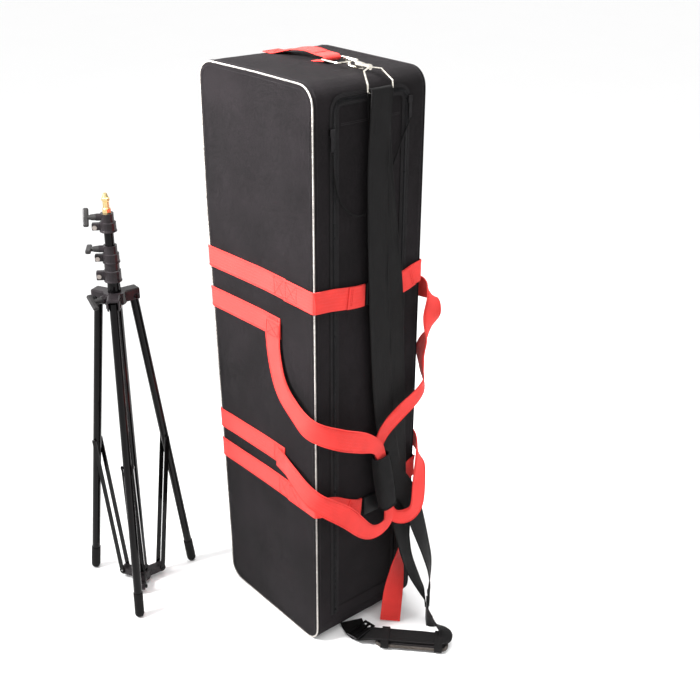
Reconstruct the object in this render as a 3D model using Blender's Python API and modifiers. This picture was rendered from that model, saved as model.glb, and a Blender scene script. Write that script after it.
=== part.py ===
"""Background support kit: a folding light stand and its tall carry bag.

Metres, +Z up. The origin is the centre of the bag's base on the floor. +X is the bag's zipped
lid, -Y is its front face. The stand stands on the same floor, beside the bag's front left corner.
"""
from math import asin, atan2, cos, hypot, radians, sin

import bmesh
import bpy
from mathutils import Matrix, Vector

# ---------------------------------------------------------------- driving dimensions
GAP = 0.0003                 # play that touching pieces keep
ROD_ROLL = 0.11              # turn of a rod's facets about its own axis, radians

# stand
STAND_AT = (-0.268, -0.307)
LEG_AZIMUTHS = (327.0, 87.0, 207.0)
LUG_AZIMUTH = 237.0          # side that the clamps' lugs stick out to
TUBE_SIDES = 20
BASE_TUBE = (0.0130, 0.0117)         # outer and inner radius
MIDDLE_TUBE = (0.01125, 0.0100)
TOP_TUBE = (0.0095, 0.0083)
LEG_TUBE = (0.0090, 0.0076)
COLUMN_BOTTOM = 0.003
BASE_TUBE_TOP = 0.7700
MIDDLE_TUBE_SPAN = (0.110, 0.8055)
TOP_TUBE_SPAN = (0.150, 0.8705)
SPIGOT_TOP = 0.928

# leg linkage, as radius from the column's axis and height
SPIDER_PIVOT = (0.040, 0.706)
CASTING_PIVOT = (0.0465, 0.018)
LEG_ANGLE = radians(7.2)             # a leg's lean at rest
LEG_TO_BRACE = 0.352                 # spider pivot to brace pivot, along the leg
TIP_RADIUS = 0.0102
PIN_RADIUS = 0.0030
HOLE_RADIUS = 0.0034
BRACE_OFFSET = 0.0113                # each bar's middle from the leg's middle
BRACE_SIZE = (0.0100, 0.0026)        # width and thickness of a bar

# bag
BAG_W, BAG_D, BAG_H = 0.318, 0.261, 1.180
BAG_CORNER = 0.035                   # corners of the front and back faces
BAG_EDGE = 0.007                     # seam edges round those faces
BAG_WALL = 0.006                     # cloth over foam and board
LID_Y = (-0.0840, 0.0820)
LID_Z = (0.0605, 1.1490)
LID_HINGE = (0.1595, 0.0605)         # x and z of the fold along the lid's lower edge
WEBBING = 0.044
NARROW_WEBBING = 0.038          # the carry handle on top
WEBBING_THICK = 0.0022
STRAP = 0.050
SIDE_X = BAG_W / 2
FRONT_Y = -BAG_D / 2
BACK_Y = BAG_D / 2
UPPER_BAND_Z = 0.790
LOWER_BAND_Z = 0.345
CARRY_UPPER_Z = 0.702
CARRY_LOWER_Z = 0.418

UP = Vector((0, 0, 1))


# ---------------------------------------------------------------- scene and materials
for old in list(bpy.data.objects):
    bpy.data.objects.remove(old, do_unlink=True)

kit = bpy.data.collections.new("background_support_system")
tools = bpy.data.collections.new("cutters")
bpy.context.scene.collection.children.link(kit)
bpy.context.scene.collection.children.link(tools)


def material(name, colour, roughness, metallic=0.0):
    made = bpy.data.materials.new(name)
    made.use_nodes = True
    shader = made.node_tree.nodes["Principled BSDF"]
    shader.inputs["Base Color"].default_value = (*colour, 1)
    shader.inputs["Roughness"].default_value = roughness
    shader.inputs["Metallic"].default_value = metallic
    return made


BLACK_TUBE = material("gloss_black_tube", (0.012, 0.011, 0.012), 0.18, 0.3)
CASTING = material("dark_casting", (0.060, 0.052, 0.056), 0.42, 0.5)
KNOB = material("grey_knob_plastic", (0.085, 0.085, 0.085), 0.5)
BRASS = material("brass", (0.78, 0.56, 0.22), 0.25, 1.0)
STEEL = material("bright_steel", (0.75, 0.74, 0.72), 0.25, 1.0)
RUBBER = material("black_rubber", (0.020, 0.019, 0.019), 0.75)
CLOTH = material("black_bag_cloth", (0.025, 0.022, 0.025), 0.85)
RED_WEB = material("red_webbing", (0.75, 0.04, 0.03), 0.7)
BLACK_WEB = material("black_webbing", (0.015, 0.014, 0.015), 0.75)
PLASTIC = material("black_buckle_plastic", (0.012, 0.012, 0.013), 0.4)
NICKEL = material("nickel", (0.72, 0.68, 0.60), 0.28, 1.0)
ALUMINIUM = material("satin_aluminium", (0.66, 0.67, 0.69), 0.35, 1.0)
PAD_CLOTH = material("pad_cloth", (0.030, 0.026, 0.024), 0.85)


# ---------------------------------------------------------------- shapes
def from_bmesh(name, bm):
    mesh = bpy.data.meshes.new(name)
    bm.to_mesh(mesh)
    bm.free()
    made = bpy.data.objects.new(name, mesh)
    tools.objects.link(made)
    return made


def block(size, centre=(0, 0, 0), turn=0.0, bevel=0.0, segments=2):
    """A box, turned about +Z by turn radians about the origin, with every edge bevelled."""
    bm = bmesh.new()
    bmesh.ops.create_cube(bm, size=1.0)
    bmesh.ops.scale(bm, vec=size, verts=bm.verts)
    if bevel:
        bmesh.ops.bevel(bm, geom=bm.edges, offset=bevel, segments=segments, affect="EDGES",
                        profile=0.5)
    bmesh.ops.translate(bm, vec=centre, verts=bm.verts)
    bmesh.ops.rotate(bm, matrix=Matrix.Rotation(turn, 3, "Z"), verts=bm.verts)
    return from_bmesh("block", bm)


def rod(radius, start, end, sides=16, end_radius=None):
    """A round bar, or a cone, from start to end, rolled so its edges miss other solids' edges."""
    start, end = Vector(start), Vector(end)
    bm = bmesh.new()
    tip = radius if end_radius is None else end_radius
    bmesh.ops.create_cone(bm, cap_ends=True, segments=sides, radius1=radius, radius2=tip,
                          depth=(end - start).length)
    spin = (end - start).to_track_quat("Z", "Y").to_matrix().to_4x4()
    spin = spin @ Matrix.Rotation(ROD_ROLL, 4, "Z")
    bmesh.ops.transform(bm, matrix=Matrix.Translation((start + end) / 2) @ spin, verts=bm.verts)
    return from_bmesh("rod", bm)


def evaluated_mesh(made):
    bpy.context.view_layer.update()
    graph = bpy.context.evaluated_depsgraph_get()
    return bpy.data.meshes.new_from_object(made.evaluated_get(graph))


def revolve(profile, sides=TUBE_SIDES, closed=True):
    """A turned solid; the profile is (radius, height) points, outer side from top to bottom."""
    bm = bmesh.new()
    points = [bm.verts.new((radius, 0, height)) for radius, height in profile]
    pairs = list(zip(points, points[1:]))
    if closed:
        pairs.append((points[-1], points[0]))
    for first, second in pairs:
        bm.edges.new((first, second))
    made = from_bmesh("revolve", bm)
    screw = made.modifiers.new("Screw", "SCREW")
    screw.steps = screw.render_steps = sides
    screw.use_merge_vertices = True
    screw.merge_threshold = 0.00001
    made.data = evaluated_mesh(made)
    made.modifiers.clear()
    return made


def tube(radii, low, high, sides=TUBE_SIDES):
    outer, inner = radii
    return revolve([(outer, high), (outer, low), (inner, low), (inner, high)], sides)


def wire(points, radius, closed=False, resolution=2):
    """A bent round wire through the points, as a closed mesh."""
    data = bpy.data.curves.new("wire", "CURVE")
    data.dimensions = "3D"
    data.bevel_depth = radius
    data.bevel_resolution = resolution
    data.use_fill_caps = not closed
    spline = data.splines.new("POLY")
    spline.points.add(len(points) - 1)
    for target, point in zip(spline.points, points):
        target.co = (*point, 1)
    spline.use_cyclic_u = closed
    curve = bpy.data.objects.new("wire", data)
    tools.objects.link(curve)
    mesh = evaluated_mesh(curve)
    bm = bmesh.new()
    bm.from_mesh(mesh)
    bmesh.ops.remove_doubles(bm, verts=bm.verts, dist=0.00001)
    bmesh.ops.recalc_face_normals(bm, faces=bm.faces)
    bpy.data.objects.remove(curve)
    return from_bmesh("wire", bm)


def combine(base, others, operation):
    """Join others to base, or cut them from it, and remove them."""
    for other in others:
        step = base.modifiers.new("Boolean", "BOOLEAN")
        step.operation = operation
        step.solver = "EXACT"
        step.object = other
        base.data = evaluated_mesh(base)
        base.modifiers.clear()
        bpy.data.objects.remove(other)
    return base


def empty(name, location, turn=(0, 0, 0), parent=None):
    made = bpy.data.objects.new(name, None)
    made.location = location
    made.rotation_euler = turn
    made.parent = parent
    kit.objects.link(made)
    return made


def piece(name, finish, base, add=(), cut=(), parent=None):
    """Finish one sub-part: join, cut, name, colour and parent it."""
    combine(base, add, "UNION")
    combine(base, cut, "DIFFERENCE")
    base.name = base.data.name = name
    base.data.materials.clear()
    base.data.materials.append(finish)
    base.data.shade_smooth()
    base.data.set_sharp_from_angle(angle=radians(35))
    base.parent = parent
    tools.objects.unlink(base)
    kit.objects.link(base)
    return base


def radial(azimuth, radius, height=0.0, across=0.0):
    """A point at a radius along an azimuth in degrees, and across it, to the left."""
    angle = radians(azimuth)
    return Vector((radius * cos(angle) - across * sin(angle),
                   radius * sin(angle) + across * cos(angle), height))


def smooth_route(stations, steps):
    """Catmull-Rom samples through stations, each a tuple of numbers of one length."""
    ends = [stations[0]] + list(stations) + [stations[-1]]
    route = []
    for i in range(1, len(ends) - 2):
        p0, p1, p2, p3 = (Vector(ends[j]) for j in (i - 1, i, i + 1, i + 2))
        for step in range(steps):
            t = step / steps
            route.append(0.5 * (2 * p1 + (p2 - p0) * t + (2 * p0 - 5 * p1 + 4 * p2 - p3) * t ** 2
                                + (3 * p1 - p0 - 3 * p2 + p3) * t ** 3))
    route.append(Vector(stations[-1]))
    return route


def webbing(stations, steps=3):
    """A flat strap; a station is its middle, the way its face looks, and its width."""
    samples = smooth_route(stations, steps)
    centres = [Vector(s[0:3]) for s in samples]
    bm = bmesh.new()
    rows = []
    for i, sample in enumerate(samples):
        along = centres[min(i + 1, len(centres) - 1)] - centres[max(i - 1, 0)]
        across = along.cross(Vector(sample[3:6])).normalized() * sample[6] / 2
        rows.append((bm.verts.new(centres[i] - across), bm.verts.new(centres[i] + across)))
    for (a, b), (c, d) in zip(rows, rows[1:]):
        bm.faces.new((a, b, d, c))
    made = from_bmesh("webbing", bm)
    solid = made.modifiers.new("Solidify", "SOLIDIFY")
    solid.thickness = WEBBING_THICK
    solid.offset = 0
    made.data = evaluated_mesh(made)
    made.modifiers.clear()
    return made


# ---------------------------------------------------------------- stand: column
stand = empty("stand_axis", (*STAND_AT, 0))


def column():
    low = COLUMN_BOTTOM + 0.005
    piece("base_tube", BLACK_TUBE, tube(BASE_TUBE, low, BASE_TUBE_TOP), parent=stand)
    plug_radius = BASE_TUBE[1] - 0.0006
    plug = revolve([(0, low + 0.012), (plug_radius, low + 0.012), (plug_radius, low - GAP),
                    (0.0136, low - GAP), (0.0136, COLUMN_BOTTOM), (0, COLUMN_BOTTOM)],
                   closed=False)
    piece("column_end_plug", RUBBER, plug, parent=stand)
    piece("middle_tube", BLACK_TUBE, tube(MIDDLE_TUBE, *MIDDLE_TUBE_SPAN), parent=stand)
    piece("top_tube", BLACK_TUBE, tube(TOP_TUBE, *TOP_TUBE_SPAN), parent=stand)


def bottom_casting():
    """Collar fixed at the foot of the base tube; one lug per leg carries the brace's pin."""
    reach, height = CASTING_PIVOT
    lugs, holes = [], []
    for azimuth in LEG_AZIMUTHS:
        turn = radians(azimuth)
        lugs.append(block((reach - 0.014, 0.018, 0.016), ((reach + 0.014) / 2, 0, height), turn))
        side = radial(azimuth, reach, height, 0.0088)
        lugs.append(rod(0.0092, side, radial(azimuth, reach, height, -0.0088)))
        holes.append(rod(HOLE_RADIUS, radial(azimuth, reach, height, 0.03),
                         radial(azimuth, reach, height, -0.03), 12))
    bore = BASE_TUBE[0] + 0.0004
    collar = revolve([(0.0190, height + 0.014), (0.0190, height - 0.009),
                      (0.012, height - 0.009), (0.012, height + 0.014)])
    clear = revolve([(bore, height + 0.05), (bore, height - 0.0085 - 0.01),
                     (0.002, height - 0.0085 - 0.01), (0.002, height + 0.05)])
    piece("bottom_casting", CASTING, collar, lugs, [clear] + holes, parent=stand)


def clamp(name, low, split, high, lower_radius, upper_radius, bores, knob_azimuth):
    """Two-tier collar: its lower tier grips the outer tube, its upper tier the inner one."""
    lower_bore, upper_bore = bores
    flare = lower_radius + 0.0010
    body = revolve([(upper_radius, high), (upper_radius, split), (lower_radius, split - 0.0015),
                    (lower_radius, low + 0.004), (flare, low + 0.002), (flare, low),
                    (lower_bore, low), (lower_bore, split - 0.0002), (upper_bore, split - 0.0002),
                    (upper_bore, high)])
    lug_height = split - low - 0.006
    middle = low + 0.003 + lug_height / 2
    turn = radians(LUG_AZIMUTH)
    lug = block((0.018, 0.013, lug_height), (lower_radius + 0.006, 0, middle), turn, 0.002, 2)
    slit = block((0.030, 0.0018, lug_height + 0.004), (lower_radius + 0.013, 0, middle), turn)
    screw = rod(0.0032, radial(LUG_AZIMUTH, lower_radius + 0.009, middle, 0.03),
                radial(LUG_AZIMUTH, lower_radius + 0.009, middle, -0.03), 10)
    boss_height = (split + high) / 2 + 0.0005
    boss = rod(0.0072, radial(knob_azimuth, upper_bore + 0.0015, boss_height),
               radial(knob_azimuth, upper_radius + 0.0080, boss_height))
    thread = rod(0.0034, radial(knob_azimuth, upper_radius - 0.0005, boss_height),
                 radial(knob_azimuth, upper_radius + 0.03, boss_height), 10)
    piece(name, CASTING, body, [lug, boss], [slit, screw, thread], parent=stand)
    clamp_bolt(name + "_bolt", lower_radius + 0.009, middle)
    return boss_height


def clamp_bolt(name, radius, height):
    """Through bolt across a clamp's lug, with a round head on the front and a nut behind."""
    reach = 0.0065 + GAP
    shank = rod(0.0028, radial(LUG_AZIMUTH, radius, height, -reach - 0.001),
                radial(LUG_AZIMUTH, radius, height, reach + 0.001), 12)
    head = rod(0.0046, radial(LUG_AZIMUTH, radius, height, reach),
               radial(LUG_AZIMUTH, radius, height, reach + 0.0030))
    nut = rod(0.0048, radial(LUG_AZIMUTH, radius, height, -reach),
              radial(LUG_AZIMUTH, radius, height, -reach - 0.0030), 6)
    piece(name, STEEL, shank, [head, nut], parent=stand)


def t_knob(name, azimuth, start_radius, height, wing_turn):
    """Clamp screw with a winged grip; its own +X runs out along the screw."""
    pivot = empty(name + "_screw", radial(azimuth, start_radius, height),
                  (0, 0, radians(azimuth)), stand)
    stud = rod(0.0030, (-0.0078, 0, 0), (0.004, 0, 0), 12)
    hub = rod(0.0068, (GAP, 0, 0), (0.0110, 0, 0), 16, 0.0058)
    neck = rod(0.0052, (0.0100, 0, 0), (0.0160, 0, 0), 16, 0.0046)
    wing = block((0.0110, 0.0085, 0.0380), (0.0200, 0, 0), 0.0, 0.0028, 2)
    wing.data.transform(Matrix.Rotation(wing_turn, 4, "X"))
    piece(name, KNOB, stud, [hub, neck, wing], parent=pivot)


def clamps():
    sets = (
        ("lower_clamp", 0.7460, 0.7704, 0.7852, 0.0172, 0.0152, (0.0134, 0.0117), 147.0),
        ("middle_clamp", 0.7858, 0.8060, 0.8215, 0.0166, 0.0138, (0.0116, 0.0099), LUG_AZIMUTH),
        ("top_clamp", 0.8510, 0.8710, 0.8880, 0.0162, 0.0130, (0.0099, 0.0083), LUG_AZIMUTH),
    )
    turns = (radians(17), radians(90), radians(35))
    for values, wing_turn in zip(sets, turns):
        height = clamp(*values)
        t_knob(values[0] + "_knob", values[-1], values[5] + 0.0080, height, wing_turn)


def spigot():
    """Turned brass stud: shank in the socket, hexagonal foot, waist and coned head."""
    shank = revolve([(0, 0.898), (0.0077, 0.898), (0.0077, 0.856), (0, 0.856)], closed=False)
    foot = rod(0.0092, (0, 0, 0.8880 + GAP), (0, 0, 0.8975), 6)
    head = revolve([(0, SPIGOT_TOP), (0.0036, SPIGOT_TOP), (0.0062, 0.9200), (0.0080, 0.9185),
                    (0.0080, 0.9135), (0.0064, 0.9115), (0.0064, 0.8990), (0.0078, 0.8970),
                    (0, 0.8970)], closed=False)
    piece("spigot", BRASS, foot, [shank, head], parent=stand)


# ---------------------------------------------------------------- stand: spider, legs, braces
def spider():
    """Sliding collar with three forked arms that the legs hang in."""
    reach, height = SPIDER_PIVOT
    low, high = height - 0.008, height + 0.017
    hub = revolve([(0.0225, high), (0.0225, low), (0.012, low), (0.012, high)])
    arms, cuts = [], []
    for azimuth in LEG_AZIMUTHS:
        turn = radians(azimuth)
        arms.append(block((0.036, 0.0260, high - low), (0.032, 0, (low + high) / 2), turn,
                          0.003, 2))
        cuts.append(block((0.040, 0.0192, 0.030), (0.0262 + 0.020, 0, height + 0.0118 - 0.015),
                          turn))
        cuts.append(rod(HOLE_RADIUS, radial(azimuth, reach, height, 0.03),
                        radial(azimuth, reach, height, -0.03), 12))
    knob_azimuth = (LEG_AZIMUTHS[0] + LEG_AZIMUTHS[2]) / 2
    boss = rod(0.0090, radial(knob_azimuth, 0.016, height + 0.004),
               radial(knob_azimuth, 0.0290, height + 0.004))
    thread = rod(HOLE_RADIUS, radial(knob_azimuth, 0.0205, height + 0.004),
                 radial(knob_azimuth, 0.05, height + 0.004), 12)
    bore = BASE_TUBE[0] + 0.0008
    clear = revolve([(bore, high + 0.01), (bore, low - 0.01), (0.002, low - 0.01),
                     (0.002, high + 0.01)])
    piece("leg_spider", CASTING, hub, arms + [boss], [clear, thread] + cuts, parent=stand)
    t_knob("spider_knob", knob_azimuth, 0.0290, height + 0.004, radians(60))


def riveted_pin(side, at, head=0.0055):
    """Pin across a leg, with a domed head beyond each side; returns its shank and heads."""
    x, z = at
    shank = rod(PIN_RADIUS, (x, -side - 0.001, z), (x, side + 0.001, z), 12)
    heads = [rod(head, (x, way * side, z), (x, way * (side + 0.0016), z), 12, head * 0.7)
             for way in (-1, 1)]
    return shank, heads


def leg(number, azimuth):
    reach, height = SPIDER_PIVOT
    top = empty(f"leg_{number}_pivot", radial(azimuth, reach, height),
                (0, -LEG_ANGLE, radians(azimuth)), stand)
    to_tip = (height - TIP_RADIUS) / cos(LEG_ANGLE)
    pipe = tube(LEG_TUBE, -to_tip + 0.004, 0.006)
    middle_hole = rod(HOLE_RADIUS, (0, -0.03, -LEG_TO_BRACE), (0, 0.03, -LEG_TO_BRACE), 12)
    shank, heads = riveted_pin(0.0130 + GAP, (0, 0))
    piece(f"leg_tube_{number}", BLACK_TUBE, pipe, [shank] + heads, [middle_hole], parent=top)
    inner, cup = LEG_TUBE[0] + GAP, 0.050
    arc = [(TIP_RADIUS * cos(a), -to_tip - TIP_RADIUS * sin(a))
           for a in (radians(15 * i) for i in range(6))]
    cap = revolve([(0, -to_tip + 0.0035), (inner, -to_tip + 0.0035), (inner, -to_tip + cup),
                   (TIP_RADIUS, -to_tip + cup), *arc, (0, -to_tip - TIP_RADIUS)], closed=False)
    piece(f"foot_tip_{number}", RUBBER, cap, parent=top)


def brace(number, azimuth):
    """A pair of flat bars riveted together, hinged on the casting and on the leg."""
    foot_r, foot_z = CASTING_PIVOT
    meet_r = SPIDER_PIVOT[0] + LEG_TO_BRACE * sin(LEG_ANGLE)
    meet_z = SPIDER_PIVOT[1] - LEG_TO_BRACE * cos(LEG_ANGLE)
    length = hypot(meet_r - foot_r, meet_z - foot_z)
    lean = asin((meet_r - foot_r) / length)
    foot = empty(f"brace_{number}_pivot", radial(azimuth, foot_r, foot_z),
                 (0, lean, radians(azimuth)), stand)
    width, thick = BRACE_SIZE
    solids = []
    for way in (-1, 1):
        y = way * BRACE_OFFSET
        solids.append(block((width, thick, length), (0, y, length / 2)))
        for z in (0, length):
            solids.append(rod(width / 2, (0, y - thick / 2, z), (0, y + thick / 2, z), 16))
    for z in (0, length):
        shank, heads = riveted_pin(BRACE_OFFSET + thick / 2 - 0.0002, (0, z), 0.0044)
        solids += [shank] + heads
    piece(f"brace_{number}", BLACK_TUBE, solids[0], solids[1:], parent=foot)


# ---------------------------------------------------------------- bag: shell, lid, contents
def bag_block(inset, edge=BAG_EDGE):
    """The bag's rounded block, smaller by inset on every side."""
    bm = bmesh.new()
    bmesh.ops.create_cube(bm, size=1.0)
    size = (BAG_W - 2 * inset, BAG_D - 2 * inset, BAG_H - 2 * inset)
    bmesh.ops.scale(bm, vec=size, verts=bm.verts)
    along_y = [e for e in bm.edges if abs(e.verts[0].co.y - e.verts[1].co.y) > 0.1]
    bmesh.ops.bevel(bm, geom=along_y, offset=BAG_CORNER - inset, segments=5, affect="EDGES",
                    profile=0.5)
    if edge > 0:
        rim = [e for e in bm.edges if abs(e.verts[0].co.y - e.verts[1].co.y) < 1e-6
               and abs(abs(e.verts[0].co.y) - size[1] / 2) < 1e-6]
        bmesh.ops.bevel(bm, geom=rim, offset=edge, segments=2, affect="EDGES", profile=0.5)
    bmesh.ops.translate(bm, vec=(0, 0, BAG_H / 2), verts=bm.verts)
    return from_bmesh("bag_block", bm)


def bag_shell():
    mouth_y = (LID_Y[0] - 0.001, LID_Y[1] + 0.001)
    mouth_z = (LID_Z[0] - 0.0078, LID_Z[1] + 0.001)
    mouth = block((0.040, mouth_y[1] - mouth_y[0], mouth_z[1] - mouth_z[0]),
                  (SIDE_X, sum(mouth_y) / 2, sum(mouth_z) / 2))
    hollow = bag_block(BAG_WALL, edge=0)
    piece("bag_shell", CLOTH, bag_block(0), [], [hollow, mouth])


def bag_lid():
    fold = empty("lid_fold", (LID_HINGE[0], 0, LID_HINGE[1]))
    size = (BAG_WALL, LID_Y[1] - LID_Y[0], LID_Z[1] - LID_Z[0])
    centre = (SIDE_X - BAG_WALL / 2 - LID_HINGE[0], sum(LID_Y) / 2,
              sum(LID_Z) / 2 - LID_HINGE[1])
    piece("bag_lid", CLOTH, block(size, centre), parent=fold)


def crossbars():
    """Two plug-together sections of the background's crossbar, stowed along the bag's back."""
    floor = BAG_WALL + GAP
    at = empty("crossbar_socket_section_axis", (-0.108, -0.060, floor))
    piece("crossbar_socket_section", ALUMINIUM, tube((0.0140, 0.0125), 0, 1.060), parent=at)
    at = empty("crossbar_spigot_section_axis", (-0.108, 0.000, floor))
    stub = tube((0.0121, 0.0108), 0.960, 1.110)
    body = tube((0.0140, 0.0120), 0, 1.060)
    piece("crossbar_spigot_section", ALUMINIUM, body, [stub], parent=at)


# ---------------------------------------------------------------- bag: sewn webbing
def round_corner(x, y, way_in, way_out, radius):
    """Three (x, y, normal x, normal y) points round an upright corner of the webbing's route."""
    start = (x - way_in[0] * radius, y - way_in[1] * radius)
    end = (x + way_out[0] * radius, y + way_out[1] * radius)
    outward = Vector((way_in[0] - way_out[0], way_in[1] - way_out[1])).normalized()
    inset = radius * 0.4142       # from the square corner in to the round one
    middle = (x - outward.x * inset, y - outward.y * inset)
    return [(*start, -way_out[0], -way_out[1]), (*middle, *outward), (*end, way_in[0], way_in[1])]


def band(z, end_x):
    """Webbing sewn round three faces: front, left side and back, at one height."""
    out = WEBBING_THICK / 2 + GAP
    bend = BAG_EDGE + out
    left, front, back = -SIDE_X - out, FRONT_Y - out, BACK_Y + out
    route = [(end_x, front, 0, -1)]
    route += round_corner(left, front, (-1, 0), (0, 1), bend)
    route += round_corner(left, back, (0, 1), (1, 0), bend)
    route.append((end_x, back, 0, 1))
    return [(x, y, z, facing_x, facing_y, 0, WEBBING) for x, y, facing_x, facing_y in route]


def tab(sign, z_face, z_end, end_y):
    """Loose end of a compression strap, round the bag's lid-side corner onto the lid."""
    out = WEBBING_THICK / 2 + GAP
    face = sign * (BACK_Y + out)
    side = SIDE_X + out + 0.0004
    bend = BAG_EDGE + out
    level = [(0.075, face, 0, sign)] + round_corner(side, face, (1, 0), (0, -sign), bend)
    start_y = face - sign * (bend + 0.006)
    route = [(x, y, z_face, facing_x, facing_y, 0, WEBBING) for x, y, facing_x, facing_y in level]
    for share in (0.0, 0.25, 0.5, 0.75, 1.0):
        fall = share * share * (3 - 2 * share)
        route.append((side, start_y + (end_y - start_y) * share,
                      z_face + (z_end - z_face) * fall, 1, 0, 0, WEBBING))
    return route


def buckle(name, z, inner_y, outer_y, prongs):
    """Half of a side-release buckle, flat on the lid."""
    depth = 0.0070
    x = SIDE_X + 0.0006 + depth / 2
    length = abs(outer_y - inner_y)
    shape = block((depth, length, 0.044), (x, (inner_y + outer_y) / 2, z), 0.0, 0.0015, 1)
    if prongs:
        fingers = [block((0.0040, 0.024, 0.0055), (x, inner_y - 0.009, z + rise))
                   for rise in (-0.012, 0.0, 0.012)]
        piece(name, PLASTIC, shape, fingers)
    else:
        pocket = block((0.0052, 0.060, 0.034), (x, inner_y, z))
        piece(name, PLASTIC, shape, [], [pocket])


def compression_straps():
    for level, z, z_end, slack in (("upper", UPPER_BAND_Z, UPPER_BAND_Z - 0.012, 0.0),
                                   ("lower", LOWER_BAND_Z, LOWER_BAND_Z - 0.043, 0.0080)):
        piece(f"{level}_strap_band", RED_WEB, webbing(band(z, 0.072), 1))
        for side, sign in (("front", -1), ("rear", 1)):
            hinge = empty(f"{level}_{side}_tab_fold", (SIDE_X, sign * BACK_Y, z))
            end_y = (-0.0160 if sign < 0 else 0.0720) + sign * slack
            made = piece(f"{level}_{side}_tab", RED_WEB, webbing(tab(sign, z, z_end, end_y), 1))
            made.parent = hinge
            made.matrix_parent_inverse = Matrix.Translation(hinge.location).inverted()
        buckle(f"{level}_buckle_socket", z_end, 0.030, -0.0105, False)
        buckle(f"{level}_buckle_prong", z_end, 0.0310, 0.0650, True)


def carry_straps():
    piece("upper_carry_strap", RED_WEB, webbing(band(CARRY_UPPER_Z, 0.010), 1))
    piece("lower_carry_strap", RED_WEB, webbing(band(CARRY_LOWER_Z, 0.014), 1))


FRONT_HANDLE = [
    (0.036, -0.1350, 0.716, 0, -1, 0, WEBBING),
    (0.037, -0.1375, 0.660, 0, -1, 0, WEBBING),
    (0.064, -0.1430, 0.592, 0, -1, 0, WEBBING),
    (0.112, -0.1500, 0.560, 0.1, -1, 0, WEBBING),
    (0.168, -0.1500, 0.537, 0.6, -0.8, 0, WEBBING),
    (0.199, -0.1050, 0.512, 1, -0.1, 0, WEBBING),
    (0.205, -0.0500, 0.487, 1, 0, 0, WEBBING),
    (0.203, -0.0120, 0.462, 1, 0, 0, 0.030),
    (0.1975, 0.0060, 0.430, 1, 0, 0, 0.022),
    (0.1970, 0.0190, 0.365, 1, 0, 0, 0.022),
    (0.1975, 0.0300, 0.298, 1, 0, 0, 0.022),
    (0.2030, 0.0180, 0.266, 1, 0, 0, 0.026),
    (0.2050, -0.0300, 0.268, 1, 0, 0, 0.034),
    (0.197, -0.0850, 0.325, 1, -0.1, 0, WEBBING),
    (0.170, -0.1450, 0.376, 0.6, -0.8, 0, WEBBING),
    (0.112, -0.1500, 0.404, 0.1, -1, 0, WEBBING),
    (0.070, -0.1400, 0.409, 0, -1, 0, WEBBING),
    (0.037, -0.1350, 0.411, 0, -1, 0, WEBBING),
]
REAR_HANDLE = [
    (0.036, 0.1350, 0.716, 0, 1, 0, WEBBING),
    (0.080, 0.1430, 0.735, 0, 1, 0, WEBBING),
    (0.140, 0.1520, 0.745, 0.2, 1, 0, WEBBING),
    (0.178, 0.1500, 0.733, 0.8, 0.7, 0, WEBBING),
    (0.181, 0.1470, 0.700, 0.8, 0.6, 0, WEBBING),
    (0.165, 0.1480, 0.655, 0.6, 0.8, 0, WEBBING),
    (0.152, 0.1480, 0.610, 0.4, 0.9, 0, WEBBING),
    (0.154, 0.1500, 0.570, 0.5, 0.85, 0, 0.038),
    (0.172, 0.1420, 0.542, 0.8, 0.6, 0, 0.036),
    (0.187, 0.1100, 0.530, 1, 0.3, 0, 0.036),
    (0.192, 0.0600, 0.511, 1, 0, 0, 0.036),
    (0.192, 0.0230, 0.488, 1, 0, 0, 0.032),
    (0.190, 0.0060, 0.458, 1, 0, 0, 0.024),
    (0.1890, 0.0080, 0.430, 1, 0, 0, 0.022),
    (0.1890, 0.0200, 0.365, 1, 0, 0, 0.022),
    (0.1890, 0.0340, 0.300, 1, 0, 0, 0.022),
    (0.1950, 0.0500, 0.268, 1, 0, 0, 0.026),
    (0.2025, 0.0800, 0.260, 1, 0.1, 0, 0.036),
    (0.2030, 0.1030, 0.275, 1, 0.1, 0, WEBBING),
    (0.189, 0.1220, 0.320, 1, 0.1, 0, WEBBING),
    (0.175, 0.1340, 0.365, 0.9, 0.4, 0, WEBBING),
    (0.140, 0.1500, 0.394, 0.4, 0.9, 0, WEBBING),
    (0.100, 0.1470, 0.404, 0, 1, 0, WEBBING),
    (0.070, 0.1400, 0.409, 0, 1, 0, WEBBING),
    (0.037, 0.1350, 0.411, 0, 1, 0, WEBBING),
]
WRAP_TOP = (0.1930, 0.0070, 0.432)
WRAP_LOW = (0.1930, 0.0310, 0.302)


def carry_handles():
    """Two webbing loops gathered in a hook-and-loop grip that hangs over the lid."""
    front = empty("front_handle_fold", (0.036, -0.1350, 0.560))
    rear = empty("rear_handle_fold", (0.036, 0.1350, 0.560))
    for name, route, fold in (("front_handle", FRONT_HANDLE, front),
                              ("rear_handle", REAR_HANDLE, rear)):
        made = piece(name, RED_WEB, webbing(route))
        made.parent = fold
        made.matrix_parent_inverse = Matrix.Translation(fold.location).inverted()
    top, low = Vector(WRAP_TOP), Vector(WRAP_LOW)
    length = (top - low).length
    sleeve = block((0.0250, 0.0380, length), (0, 0, 0), 0.0, 0.003, 2)
    hollow = block((0.0170, 0.0300, length + 0.04), (0, 0, 0))
    combine(sleeve, [hollow], "DIFFERENCE")
    tilt = atan2(-(top - low).y, (top - low).z)
    sleeve.data.transform(Matrix.Translation((top + low) / 2) @ Matrix.Rotation(tilt, 4, "X"))
    grip = piece("handle_grip", BLACK_WEB, sleeve)
    grip.parent = front
    grip.matrix_parent_inverse = Matrix.Translation(front.location).inverted()


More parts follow.
